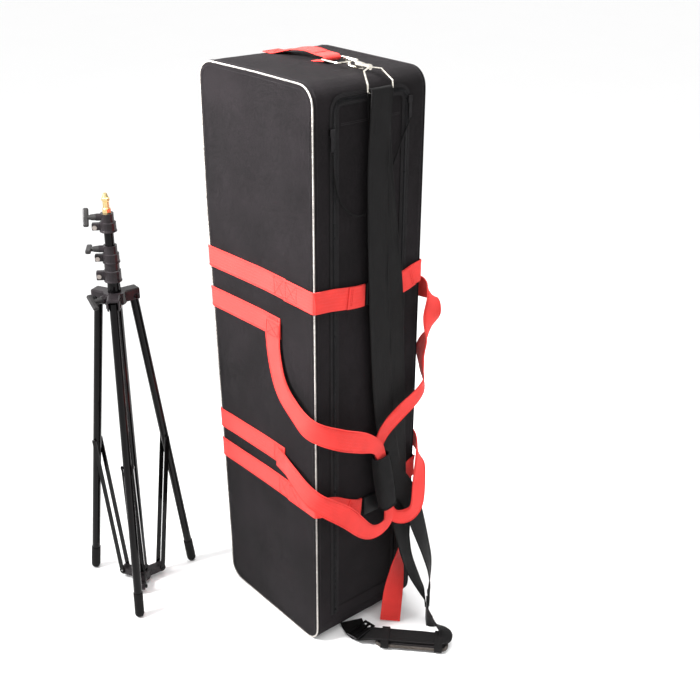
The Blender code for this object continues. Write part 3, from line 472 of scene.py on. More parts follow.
BOX_REACH = 0.84             # how far a sewn box reaches across a strap, from its middle
EDGE_SEAM = 0.86             # where the rows along a strap's edges are


def seam(bm, strap, start, end, across):
    """A row of stitches along a strap."""
    add_stitches(bm, lambda s: strap.at(start + s, across, strap.half), end - start)


def edge_seams(bm, strap, start, end, across=EDGE_SEAM):
    for side in (-across, across):
        seam(bm, strap, start, end, side)


def cross_seam(bm, strap, along):
    """A row of stitches across a strap."""
    width = strap.widths[0] * BOX_REACH
    add_stitches(bm, lambda s: strap.at(along, (2 * s / width - 1) * BOX_REACH, strap.half), width)


def sewn_ends(bm, strap, start, end):
    box_seam(bm, strap, start, end)
    box_seam(bm, strap, strap.length - end, strap.length - start)


def box_seam(bm, strap, start, end):
    """A sewn box with a cross in it."""
    edge_seams(bm, strap, start, end, BOX_REACH)
    for along in (start, end):
        cross_seam(bm, strap, along)
    run = end - start
    diagonal = hypot(run, strap.widths[0] * BOX_REACH)
    for way in (-BOX_REACH, BOX_REACH):
        add_stitches(bm, lambda s: strap.at(start + run * s / diagonal,
                                            way * (2 * s / diagonal - 1), strap.half), diagonal)


# ---------------------------------------------------------------- bag: sizes read from the frame
SHELL_LOW, SHELL_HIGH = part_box("bag_shell")
LID_LOW, LID_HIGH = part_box("bag_lid")
SIDE_X, FRONT_Y, BACK_Y, BAG_TOP = SHELL_HIGH.x, SHELL_LOW.y, SHELL_HIGH.y, SHELL_HIGH.z
LEFT_X = SHELL_LOW.x
CORNER = 0.035               # corners of the front and back faces
EDGE = 0.006                 # roll of the seam edge
PIPING = 0.0017              # radius of the piping
STITCH_CLEAR = 0.0013        # keeps the stitches under the bag off the floor
WALL = 0.0045                # cloth and foam
SKIN = 0.0002                # a flat panel's cloth, from the side of the bag
MOUTH_Y = (LID_LOW.y - 0.001, LID_HIGH.y + 0.001)
MOUTH_Z = (LID_LOW.z - 0.0078, LID_HIGH.z + 0.001)
MOUTH_HEM = 0.014            # cloth held by the zip's tape and hem, round the mouth
LID_HEM = 0.013
WEBBING = 0.044
BAND_HEIGHTS = [sum(p.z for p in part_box(node)) / 2 for node in
                ("upper_strap_band", "lower_strap_band", "upper_carry_strap", "lower_carry_strap")]
CELLS_X, CELLS_Z, CELLS_Y = 26, 98, 24      # of the shell's mesh


def middle_of(node):
    low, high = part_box(node)
    return (low + high) / 2


def spaced(low, high, count, fixed=()):
    """Even steps from low to high, with the nearest step moved onto each fixed value."""
    values = [low + (high - low) * i / count for i in range(count + 1)]
    for target in fixed:
        nearest = min(range(len(values)), key=lambda i: abs(values[i] - target))
        values[nearest] = target
    return values


def edge_points(inset, low, high, count, fixed=()):
    """Straight side of the rounded outline with half a corner at each end: (along, depth) pairs."""
    quarter = CORNER * pi / 4
    marks = spaced(low + CORNER - quarter, high - CORNER + quarter, count, fixed)
    radius = CORNER - inset
    points = []
    for mark in marks:
        if mark < low + CORNER:
            angle = (low + CORNER - mark) / CORNER
            points.append((low + CORNER - radius * sin(angle), CORNER - radius * cos(angle)))
        elif mark > high - CORNER:
            angle = (mark - high + CORNER) / CORNER
            points.append((high - CORNER + radius * sin(angle), CORNER - radius * cos(angle)))
        else:
            points.append((mark, inset))
    return points


def outline(inset):
    """The four sides of the bag's outline in x and z, each from low to high."""
    across = edge_points(inset, LEFT_X, SIDE_X, CELLS_X)
    upright = edge_points(inset, 0.0, BAG_TOP, CELLS_Z, MOUTH_Z)
    return {"bottom": [(x, d) for x, d in across], "top": [(x, BAG_TOP - d) for x, d in across],
            "left": [(LEFT_X + d, z) for z, d in upright],
            "right": [(SIDE_X - d, z) for z, d in upright]}


def loop_of(inset):
    sides = outline(inset)
    return (sides["bottom"][:-1] + sides["right"][:-1] + sides["top"][::-1][:-1]
            + sides["left"][::-1][:-1])


def bag_skin():
    """The bag's outer cloth: front and back panels, and a gusset with the lid's mouth in it."""
    bm = bmesh.new()
    roll = [(EDGE * (1 - sin(a)), EDGE * (1 - cos(a))) for a in (pi / 8 * k for k in range(5))]
    rows = [(FRONT_Y + depth, inset) for depth, inset in reversed(roll)]
    rows += [(y, 0.0) for y in spaced(FRONT_Y + EDGE, BACK_Y - EDGE, CELLS_Y, MOUTH_Y)[1:-1]]
    rows += [(BACK_Y - depth, inset) for depth, inset in roll]
    rings = [[bm.verts.new((x, y, z)) for x, z in loop_of(inset)] for y, inset in rows]
    for one, two in zip(rings, rings[1:]):
        join_rings(bm, one, two)
    sides = outline(EDGE)
    low, high, left, right = (sides[name] for name in ("bottom", "top", "left", "right"))
    for y in (FRONT_Y, BACK_Y):
        grid = []
        for i in range(CELLS_X + 1):
            u = i / CELLS_X
            grid.append([])
            for j in range(CELLS_Z + 1):
                v = j / CELLS_Z
                x, z = ((1 - v) * low[i][a] + v * high[i][a] + (1 - u) * left[j][a]
                        + u * right[j][a] - (1 - u) * (1 - v) * low[0][a] - u * (1 - v) * low[-1][a]
                        - (1 - u) * v * high[0][a] - u * v * high[-1][a] for a in (0, 1))
                grid[i].append(bm.verts.new((x, y, z)))
        fill_grid(bm, grid)
    bmesh.ops.remove_doubles(bm, verts=bm.verts, dist=0.00005)
    middles = [(face, face.calc_center_median()) for face in bm.faces]
    mouth = [face for face, at in middles if at.x > SIDE_X - 0.001
             and MOUTH_Y[0] < at.y < MOUTH_Y[1] and MOUTH_Z[0] < at.z < MOUTH_Z[1]]
    bmesh.ops.delete(bm, geom=mouth, context="FACES")
    return bm


def shell_hold(point):
    """How firmly the shell's cloth is held at a point, from 0, free, to 1, sewn down."""
    from_side = min(point.x - LEFT_X, SIDE_X - point.x)
    from_end = min(point.z, BAG_TOP - point.z)
    seams = min(abs(point.y - FRONT_Y), abs(point.y - BACK_Y)) < EDGE + 0.0001
    sewn_edge = seams and min(from_side, from_end) < EDGE * 1.2
    corner = from_side < CORNER and from_end < CORNER
    beside_mouth = (point.x > SIDE_X - 0.001 and point.z < MOUTH_Z[1] + MOUTH_HEM
                    and MOUTH_Y[0] - MOUTH_HEM < point.y < MOUTH_Y[1] + MOUTH_HEM)
    strapped = point.x < SIDE_X - 0.002 and any(abs(point.z - z) < WEBBING / 2 + 0.004
                                                for z in BAND_HEIGHTS)
    if sewn_edge or beside_mouth or strapped or point.z < 0.004:
        return 1.0
    return 0.6 if corner else 0.0


def lid_hold(point):
    edge = min(point.y - LID_LOW.y, LID_HIGH.y - point.y, point.z - LID_LOW.z, LID_HIGH.z - point.z)
    return 1.0 if edge < LID_HEM else 0.0


def inflate(made, hold, pressure, cap, frames=16):
    """Cloth simulation: the panel swells between its seams, no point by more than cap metres."""
    held = made.vertex_groups.new(name="sewn")
    rest = [v.co.copy() for v in made.data.vertices]
    for vertex in made.data.vertices:
        weight = hold(vertex.co)
        if weight:
            held.add([vertex.index], weight, "REPLACE")
    cloth = made.modifiers.new("Cloth", "CLOTH")
    settings = cloth.settings
    settings.quality = 5
    settings.mass = 0.25
    settings.tension_stiffness = settings.compression_stiffness = 25
    settings.bending_stiffness = 1.5
    settings.vertex_group_mass = "sewn"
    settings.use_pressure = True
    settings.uniform_pressure_force = pressure
    settings.effector_weights.gravity = 0
    cloth.collision_settings.use_collision = False
    cloth.point_cache.frame_end = frames
    for step in range(1, frames + 1):
        bpy.context.scene.frame_set(step)
    shown = made.evaluated_get(bpy.context.evaluated_depsgraph_get())
    moved = [v.co.copy() for v in shown.data.vertices]
    made.modifiers.remove(cloth)
    bpy.context.scene.frame_set(1)
    for vertex, old, new in zip(made.data.vertices, rest, moved):
        step = new - old
        if step.length > cap:
            step *= cap / step.length
        vertex.co = old + step
    made.vertex_groups.clear()


def crumple(made, hold, size, depth):
    """Slow dents and soft creases, fading out where the cloth is held."""
    normals = [v.normal.copy() for v in made.data.vertices]
    for vertex, normal in zip(made.data.vertices, normals):
        loose = 1 - hold(vertex.co)
        if loose <= 0:
            continue
        point = vertex.co
        dents = noise.noise(point / size)
        creases = abs(noise.noise(Vector((point.x * 2, point.y * 2, point.z)) * 1.6 / size))
        vertex.co += normal * depth * loose * (0.7 * dents - 0.5 * creases)


def thicken(made, thickness, lining_too=True):
    """Gives cloth its thickness, inwards, with the lining's finish inside."""
    solid = made.modifiers.new("Solidify", "SOLIDIFY")
    solid.thickness, solid.offset = thickness, -1
    if lining_too:
        made.data.materials.append(MATERIALS["lining"])
        solid.material_offset = 1


def smooth_out(made, levels=1):
    step = made.modifiers.new("Subdivision", "SUBSURF")
    step.levels = step.render_levels = levels


def make_shell():
    shell = mesh_object("bag_shell_cloth", bag_skin(), "bag_cloth", filled=False)
    inflate(shell, shell_hold, 1.1, 0.0045)
    crumple(shell, shell_hold, 0.085, 0.0036)
    for vertex in shell.data.vertices:
        vertex.co += fullness(vertex.co)
    thicken(shell, WALL)
    add_piece(shell, "bag", "bag_shell")


def make_lid():
    """The zipped lid's cloth, with its two upper corners rounded."""
    bm = bmesh.new()
    corner = 0.01
    ys = spaced(LID_LOW.y + SKIN, LID_HIGH.y - SKIN, 18)
    zs = spaced(LID_LOW.z, LID_HIGH.z - SKIN, 100)
    fill_grid(bm, [[bm.verts.new((SIDE_X - SKIN, y, z)) for z in zs] for y in ys])
    for vertex in bm.verts:
        for y, way in ((LID_LOW.y + corner, -1), (LID_HIGH.y - corner, 1)):
            if (vertex.co.y - y) * way > 0 and vertex.co.z > LID_HIGH.z - corner:
                rise, run = vertex.co.z - (LID_HIGH.z - corner), abs(vertex.co.y - y)
                reach = max(rise, run) / max(hypot(rise, run), 0.0001)
                vertex.co.z = LID_HIGH.z - corner + rise * reach
                vertex.co.y = y + way * run * reach
    bmesh.ops.recalc_face_normals(bm, faces=bm.faces)
    if sum(f.normal.x for f in bm.faces) < 0:
        bmesh.ops.reverse_faces(bm, faces=bm.faces)
    mesh = bpy.data.meshes.new("bag_lid_cloth")
    bm.to_mesh(mesh)
    bm.free()
    mesh.materials.append(MATERIALS["bag_cloth"])
    mesh.shade_smooth()
    lid = add_object("bag_lid_cloth", mesh)
    inflate(lid, lid_hold, 1.0, 0.0032)
    crumple(lid, lid_hold, 0.06, 0.0014)
    thicken(lid, WALL)
    add_piece(lid, "lid", "bag_lid")


def make_piping():
    """Covered cord sewn into the seam round each face, with the stitches beside it."""
    for name, y, finish in (("front_piping", FRONT_Y, "piping"),
                            ("rear_piping", BACK_Y, "bag_cloth")):
        way = -1 if y < 0 else 1
        inset = EDGE * (1 - cos(pi / 4)) - 0.0004
        seat = y - way * (EDGE * (1 - sin(pi / 4)) - 0.0006)
        points = [Vector((x, seat, max(z, PIPING))) for x, z in loop_of(inset)]
        bm = bmesh.new()
        add_tube(bm, points, PIPING, 10, closed=True)
        piping = mesh_object(name, bm, finish)
        smooth_out(piping)
        add_piece(piping, "bag")
        bm = bmesh.new()
        for shift_y, shift_in in ((0.0, 0.0095), (0.0085, 0.0)):
            line = [Vector((x, y - way * shift_y, max(z, STITCH_CLEAR)))
                    for x, z in loop_of(shift_in)]
            stitch_line(bm, line + line[:1], 0.0004, Vector((0, way, 0)) if shift_in else None)
        thread_piece(name + "_seam", bm, "bag", "black_thread")


def stitch_line(bm, points, lift, up=None):
    """Stitches along a line of points; up is fixed, or out from the bag's own middle."""
    marks = distances(points)

    def at(along):
        point = between(points, *locate(marks, along))
        core = Vector((min(max(point.x, LEFT_X + CORNER), SIDE_X - CORNER), point.y,
                       min(max(point.z, CORNER), BAG_TOP - CORNER)))
        return point, up or (point - core).normalized()

    add_stitches(bm, at, marks[-1], lift)


# ---------------------------------------------------------------- bag: zip
ZIP_X = SIDE_X + 0.0006
TAPE = 0.011                 # width of the tape on each side
TOOTH_PITCH = 0.0026
ZIP_BEND = 0.018             # at the mouth's upper corners
OUTWARDS = Vector((1, 0, 0))


def zip_line(shift):
    """The closing line up one side, over the top and down the other, moved outwards by shift."""
    low_y, high_y = MOUTH_Y[0] + 0.0005 - shift, MOUTH_Y[1] - 0.0005 + shift
    top, bottom = MOUTH_Z[1] - 0.0005 + shift, MOUTH_Z[0] + 0.004
    bend = ZIP_BEND + shift
    points = [(low_y, bottom)]
    for centre_y, first in ((low_y + bend, pi), (high_y - bend, pi / 2)):
        points += [(centre_y + bend * cos(first - a), top - bend + bend * sin(first - a))
                   for a in (pi / 2 * k / 5 for k in range(6))]
    points.append((high_y, bottom))
    return [Vector((ZIP_X, y, z)) for y, z in points]


def make_zip():
    """Tape sewn along each side of the closing line, a coil on each tape, and stitches."""
    for body, side in (("bag", 1), ("lid", -1)):
        stations = [Vector((*p, *OUTWARDS)) for p in zip_line(side * TAPE / 2)]
        dense = []
        for one, two in zip(stations, stations[1:]):
            parts = max(int((two - one).length / 0.03), 1)
            dense += [tuple(one.lerp(two, k / parts)) for k in range(parts)]
        tape = Strap(dense + [tuple(stations[-1])], TAPE - 0.001, 1, 0.0009)
        strip = tape.build(f"zip_tape_{body}", "zip_tape")
        bm = bmesh.new()
        line = zip_line(side * 0.0012)
        marks = distances(line)
        for k in range(int(marks[-1] / TOOTH_PITCH)):
            along = (k + (0.5 if side > 0 else 0.0)) * TOOTH_PITCH
            start, ahead = (between(line, *locate(marks, s)) for s in (along, along + 0.001))
            across = (ahead - start).normalized().cross(OUTWARDS) * side
            inner = start + OUTWARDS * 0.0009 + across * 0.0014
            outer = start + OUTWARDS * 0.0009 - across * 0.0018
            add_tube(bm, [outer, start + OUTWARDS * 0.0013, inner], 0.0007, 5, taper=(0.8, 1, 0.9))
        coil = mesh_object(f"zip_coil_{body}", bm, "zip_coil")
        bm = bmesh.new()
        for shift in (TAPE - 0.003, TAPE - 0.0055):
            stitch_line(bm, zip_line(side * shift), 0.0005, OUTWARDS)
        thread = mesh_object(f"zip_seam_{body}", bm, "black_thread")
        for made in (strip, coil, thread):
            add_piece(made, body)


def make_hinge():
    """Cloth strip that the lid folds on, along its lower edge."""
    bm = bmesh.new()
    zs = spaced(MOUTH_Z[0] - 0.01, LID_LOW.z + 0.012, 10)
    ys = spaced(MOUTH_Y[0] - 0.006, MOUTH_Y[1] + 0.006, 24)
    fill_grid(bm, [[bm.verts.new((SIDE_X + 0.0003, y, z)) for z in zs] for y in ys])
    hinge = mesh_object("lid_hinge_strip", bm, "bag_cloth")
    solid = hinge.modifiers.new("Solidify", "SOLIDIFY")
    solid.thickness, solid.offset = 0.001, 0
    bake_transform(hinge)


def make_lid_hem():
    """Two rows of stitches across the top of the lid."""
    bm = bmesh.new()
    for z in (LID_HIGH.z - 0.04, LID_HIGH.z - 0.043):
        ends = (LID_LOW.y + LID_HEM, LID_HIGH.y - LID_HEM)
        stitch_line(bm, [Vector((SIDE_X + SKIN, y, z)) for y in ends], 0.0006, OUTWARDS)
    thread_piece("lid_hem_seam", bm, "lid", "black_thread")


make_shell()
make_lid()
make_piping()
make_zip()
make_hinge()
make_lid_hem()


# ---------------------------------------------------------------- webbing
NARROW_WEBBING = 0.038       # the carry handle on top
STRAP = 0.05                 # the shoulder strap
LIFT = 0.0016                # a sewn strap's middle, off the cloth
SLACK = 0.0022               # a loose end's middle, beyond that


def webbing_piece(name, strap, body, node, finish="red_webbing"):
    add_piece(strap.build(name, finish), body, node)


def band_route(z, end_x):
    """Sewn webbing round the front, left and back of the bag, at one height."""
    left, front, back = LEFT_X - LIFT, FRONT_Y - LIFT, BACK_Y + LIFT
    bend = EDGE + 0.0015
    half = bend * 0.3
    quarters = (0, 0.25, 0.5, 0.75)
    route = [(end_x + (left - end_x) * t, front, z, 0, -1, 0) for t in quarters]
    route += [(left + bend, front, z, 0, -1, 0), (left + half, front + half, z, -0.7, -0.7, 0)]
    route += [(left, y, z, -1, 0, 0) for y in (front + bend, front / 2, back / 2, back - bend)]
    route += [(left + half, back - half, z, -0.7, 0.7, 0), (left + bend, back, z, 0, 1, 0)]
    route += [(end_x + (left - end_x) * t, back, z, 0, 1, 0) for t in reversed(quarters)]
    return route


def make_bands():
    """Compression bands and carry straps, edge-stitched to the cloth and boxed at their ends."""
    for node, end_x, box in (("upper_strap_band", 0.076, 0.036),
                             ("lower_strap_band", 0.076, 0.036),
                             ("upper_carry_strap", 0.055, 0.034),
                             ("lower_carry_strap", 0.06, 0.034)):
        low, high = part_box(node)
        strap = Strap(band_route((low.z + high.z) / 2, end_x), WEBBING, wave=0.0005, seed=high.z)
        webbing_piece(node + "_webbing", strap, "bag", node)
        bm = bmesh.new()
        edge_seams(bm, strap, 0.004, strap.length - 0.004)
        sewn_ends(bm, strap, 0.006, box)
        thread_piece(node + "_seam", bm, "bag")


def tab_route(sign, z, z_end, end_y):
    """Loose strap end, from the face round the lid-side corner onto the lid."""
    face, side = sign * (BACK_Y + LIFT + SLACK), SIDE_X + (LIFT + SLACK)
    bend, half = EDGE + 0.002, 0.0024
    start = face - sign * bend
    route = [(x, face, z, 0, sign, 0) for x in (0.072, 0.1, 0.128, side - bend)]
    route += [(side - half, face - sign * half, z, 0.7, sign * 0.7, 0), (side, start, z, 1, 0, 0)]
    for t in (0.3, 0.6, 0.85, 1.0):
        ease = t * t * (3 - 2 * t)
        route.append((side + 0.0012 * sin(pi * t), start + (end_y - start) * t,
                      z + (z_end - z) * ease, 1, 0, 0))
    return route


def make_tabs():
    """Loose ends of the compression bands, each doubled back where it holds its buckle half."""
    for level in ("upper", "lower"):
        z = middle_of(f"{level}_strap_band").z
        z_end = middle_of(f"{level}_buckle_socket").z
        for side, sign in (("front", -1), ("rear", 1)):
            name, body = f"{level}_{side}_tab", f"{level}_{side}_end"
            low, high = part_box(name)
            route = tab_route(sign, z, z_end, high.y if sign < 0 else low.y)
            strap = Strap(route, WEBBING, wave=0.0006, seed=z + sign)
            parts = [strap.build(name + "_webbing", "red_webbing")]
            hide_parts(name)
            fold = Strap([(x + 0.0024, *rest) for x, *rest in route], WEBBING, wave=0.0004, seed=z)
            parts.append(fold.build(name + "_fold", "red_webbing", fold.length - 0.042,
                                    fold.length - 0.0008))
            bm = bmesh.new()
            edge_seams(bm, strap, 0.004, 0.06)
            box_seam(bm, strap, 0.006, 0.04)
            cross_seam(bm, fold, fold.length - 0.037)
            cross_seam(bm, fold, fold.length - 0.033)
            parts.append(mesh_object(name + "_seam", bm, "red_thread"))
            for made in parts:
                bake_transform(made)


FRONT_HANDLE = [
    (0.036, -0.135, 0.716, 0, -1, 0), (0.037, -0.1375, 0.66, 0, -1, 0),
    (0.064, -0.143, 0.592, 0, -1, 0), (0.112, -0.15, 0.56, 0.1, -1, 0),
    (0.168, -0.15, 0.537, 0.6, -0.8, 0), (0.199, -0.105, 0.512, 1, -0.1, 0),
    (0.205, -0.05, 0.487, 1, 0, 0), (0.203, -0.012, 0.462, 1, 0, 0, 0.03),
    (0.1975, 0.006, 0.43, 1, 0, 0, 0.022), (0.197, 0.019, 0.365, 1, 0, 0, 0.022),
    (0.1975, 0.03, 0.298, 1, 0, 0, 0.022), (0.203, 0.018, 0.266, 1, 0, 0, 0.026),
    (0.205, -0.03, 0.268, 1, 0, 0, 0.034), (0.197, -0.085, 0.325, 1, -0.1, 0),
    (0.17, -0.145, 0.376, 0.6, -0.8, 0), (0.112, -0.15, 0.404, 0.1, -1, 0),
    (0.07, -0.14, 0.409, 0, -1, 0), (0.037, -0.135, 0.411, 0, -1, 0),
]
REAR_HANDLE = [
    (0.036, 0.135, 0.716, 0, 1, 0), (0.08, 0.143, 0.735, 0, 1, 0),
    (0.14, 0.152, 0.745, 0.2, 1, 0), (0.178, 0.15, 0.735, 0.9, 0.4, 0.3),
    (0.186, 0.144, 0.7, 1, -0.1, 0), (0.172, 0.15, 0.655, 0.8, 0.5, 0),
    (0.152, 0.148, 0.61, 0.4, 0.9, 0), (0.154, 0.15, 0.57, 0.5, 0.85, 0, 0.038),
    (0.172, 0.142, 0.542, 0.8, 0.6, 0, 0.036), (0.187, 0.11, 0.53, 1, 0.3, 0, 0.036),
    (0.192, 0.06, 0.511, 1, 0, 0, 0.036), (0.192, 0.023, 0.488, 1, 0, 0, 0.032),
    (0.19, 0.006, 0.458, 1, 0, 0, 0.024), (0.189, 0.008, 0.43, 1, 0, 0, 0.022),
    (0.189, 0.02, 0.365, 1, 0, 0, 0.022), (0.189, 0.034, 0.3, 1, 0, 0, 0.022),
    (0.195, 0.05, 0.268, 1, 0, 0, 0.026), (0.2025, 0.08, 0.26, 1, 0.1, 0, 0.036),
    (0.203, 0.103, 0.275, 1, 0.1, 0), (0.189, 0.122, 0.32, 1, 0.1, 0),
    (0.175, 0.134, 0.365, 0.9, 0.4, 0), (0.14, 0.15, 0.394, 0.4, 0.9, 0),
    (0.1, 0.147, 0.404, 0, 1, 0), (0.07, 0.14, 0.409, 0, 1, 0),
    (0.037, 0.135, 0.411, 0, 1, 0),
]


def make_handles():
    """Front and rear carry handles, each sewn to its face."""
    for name, route, body in (("front_handle", FRONT_HANDLE, "front_grip_loop"),
                              ("rear_handle", REAR_HANDLE, "rear_grip_loop")):
        sign = -1 if name.startswith("front") else 1
        strap = Strap(route, WEBBING, 8, 0.0022, 0.0022, sign)
        made = strap.build(name + "_webbing", "red_webbing")
        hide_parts(name)
        bm = bmesh.new()
        for across in (-EDGE_SEAM, EDGE_SEAM):
            seam(bm, strap, 0.004, strap.length * 0.36, across)
            seam(bm, strap, strap.length * 0.66, strap.length - 0.004, across)
        sewn_ends(bm, strap, 0.005, 0.032)
        thread = mesh_object(name + "_seam", bm, "red_thread")
        for part in (made, thread):
            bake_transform(part)


GRIP_WIDE, GRIP_DEEP = 0.019, 0.0122    # half the wrap's size across the handles, and off the bag


def squared(part):
    """A sine or cosine pulled towards the sides of a square."""
    return abs(part) ** 0.62 * (1 if part > 0 else -1)


def make_grip():
    """Hook-and-loop wrap folded round both handles, with bound edges and an overlapping flap."""
    low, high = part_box("handle_grip")
    middle_x = (low.x + high.x) / 2
    top = Vector((middle_x, low.y + GRIP_WIDE, high.z - 0.004))
    foot = Vector((middle_x, high.y - GRIP_WIDE, low.z + 0.004))
    down = (foot - top).normalized()
    across = (Vector((0, 1, 0)) - down * down.y).normalized()
    out = across.cross(down)
    out = out if out.x > 0 else -out

    def on_wrap(t, angle, wide, deep):
        return (top.lerp(foot, t) + across * squared(cos(angle)) * wide
                + out * squared(sin(angle)) * deep)

    bm = bmesh.new()
    sides, rows = 36, 30
    grid = []
    for i in range(rows + 1):
        swell = 1 + 0.1 * sin(pi * i / rows) - 0.08 * abs(2 * i / rows - 1) ** 6
        grid.append([])
        for k in range(sides + 1):
            lap = 0.0016 * k / sides
            point = on_wrap(i / rows, 2 * pi * k / sides + 0.6, GRIP_WIDE * swell + lap,
                            GRIP_DEEP * swell + lap)
            grid[i].append(bm.verts.new(point + out * 0.0012 * noise.noise(point * 45)))
    for one, two in zip(grid, grid[1:]):
        for k in range(sides):
            bm.faces.new((one[k], one[k + 1], two[k + 1], two[k]))
    grip = mesh_object("grip_wrap", bm, "grip")
    thicken(grip, 0.0022, False)
    smooth_out(grip)
    add_piece(grip, "front_grip_loop", "handle_grip")
    bm = bmesh.new()
    for t in (0.0, 1.0):
        ring = [on_wrap(t, 2 * pi * k / 40, GRIP_WIDE * 0.94, GRIP_DEEP * 0.94) for k in range(40)]
        add_tube(bm, ring, 0.0016, 8, closed=True)
    thread_piece("grip_binding", bm, "front_grip_loop", "zip_tape")


def make_end_handle():
    """Webbing arch on the bag's top, sewn at its far end and folded round the ring."""
    ring_z, y = middle_of("end_ring").z, middle_of("end_ring").y
    bar_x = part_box("end_ring")[0].x + 0.002
    top, round_bar = BAG_TOP + LIFT + 0.0006, 0.0044
    route = [(-0.132, y - 0.004, top), (-0.12, y - 0.0037, top), (-0.104, y - 0.003, top + 0.001),
             (-0.06, y, top + 0.013), (-0.02, y, top + 0.0175), (0.008, y, top + 0.0155),
             (0.028, y, ring_z + 0.0046), (bar_x, y, ring_z + round_bar)]
    route = [(*p, 0, 0, 1) for p in route] + [(bar_x + round_bar, y, ring_z, 1, 0, 0.1)]
    route += [(*p, 0, 0, -1) for p in ((bar_x, y, ring_z - round_bar), (0.022, y, ring_z - 0.005),
                                       (0.0, y, top + 0.0008))]
    strap = Strap(route, NARROW_WEBBING, 8, 0.0022, 0.0007, 3.0)
    webbing_piece("end_handle_webbing", strap, "bag", "end_handle")
    bm = bmesh.new()
    box_seam(bm, strap, 0.003, 0.026)
    edge_seams(bm, strap, 0.03, 0.15)
    cross_seam(bm, strap, 0.14)
    cross_seam(bm, strap, 0.144)
    thread_piece("end_handle_seam", bm, "bag")


# ---------------------------------------------------------------- shoulder strap and pad
HOOK_Y = 0.01
INNER_STRAND = [
    (0.254, 0.0905, 0.063, 0.65, 0.76, 0), (0.2525, 0.089, 0.08, 0.65, 0.76, 0),
    (0.242, 0.0815, 0.105, 0.75, 0.65, 0), (0.218, 0.0709, 0.157, 0.9, 0.45, 0),
    (0.193, 0.074, 0.22, 1, 0.2, 0), (0.178, 0.074, 0.2885, 1, 0, 0),
    (0.1722, 0.0745, 0.35, 1, 0, 0), (0.1712, 0.07, 0.44, 1, 0, 0), (0.1712, 0.064, 0.54, 1, 0, 0),
    (0.1712, 0.058, 0.66, 1, 0, 0), (0.1712, 0.05, 0.78, 1, 0, 0), (0.17, 0.034, 0.9, 1, 0, 0),
    (0.168, 0.02, 1.02, 1, 0, 0), (0.166, 0.012, 1.11, 1, 0, 0), (0.1655, HOOK_Y, 1.146, 1, 0, 0),
]
OUTER_STRAND = [
    (0.1755, HOOK_Y, 1.146, 1, 0, 0), (0.1745, 0.009, 1.11, 1, 0, 0),
    (0.1735, 0.006, 1.02, 1, 0, 0), (0.175, 0.007, 0.9, 1, 0, 0), (0.176, 0.011, 0.78, 1, 0, 0),
    (0.176, 0.018, 0.66, 1, 0, 0), (0.176, 0.028, 0.54, 1, 0, 0), (0.1762, 0.042, 0.44, 1, 0, 0),
    (0.1768, 0.06, 0.36, 1, 0, 0), (0.18, 0.085, 0.316, 1, 0, 0),
    (0.1845, 0.105, 0.277, 1, 0.1, 0), (0.2, 0.121, 0.202, 0.95, 0.3, 0),
    (0.228, 0.1217, 0.1395, 0.85, 0.5, 0), (0.248, 0.109, 0.1, 0.7, 0.7, 0),
    (0.2575, 0.0975, 0.08, 0.65, 0.76, 0), (0.259, 0.096, 0.063, 0.65, 0.76, 0),
]


def make_shoulder_strap():
    """Both strands in one length, over the eye of the snap hook."""
    eye_low, eye_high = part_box("hook_eye")
    x, z = eye_high.x - 0.002, eye_low.z + 0.0021
    crown = [(x - 0.0044, HOOK_Y, z + 0.004, 0.7, 0, -0.7), (x, HOOK_Y, z + 0.006, 0, 0, -1),
             (x + 0.0044, HOOK_Y, z + 0.004, -0.7, 0, -0.7)]
    outer = [(*s[:3], -s[3], -s[4], s[5]) for s in OUTER_STRAND]
    strap = Strap(INNER_STRAND + crown + outer, STRAP, 7, 0.002, 0.0011, 5.0)
    webbing_piece("shoulder_strap_webbing", strap, "bag", "shoulder_strap", "black_webbing")


PAD_LENGTH, PAD_WIDTH = 0.1567, 0.056
PAD_TURN = radians(43.3)


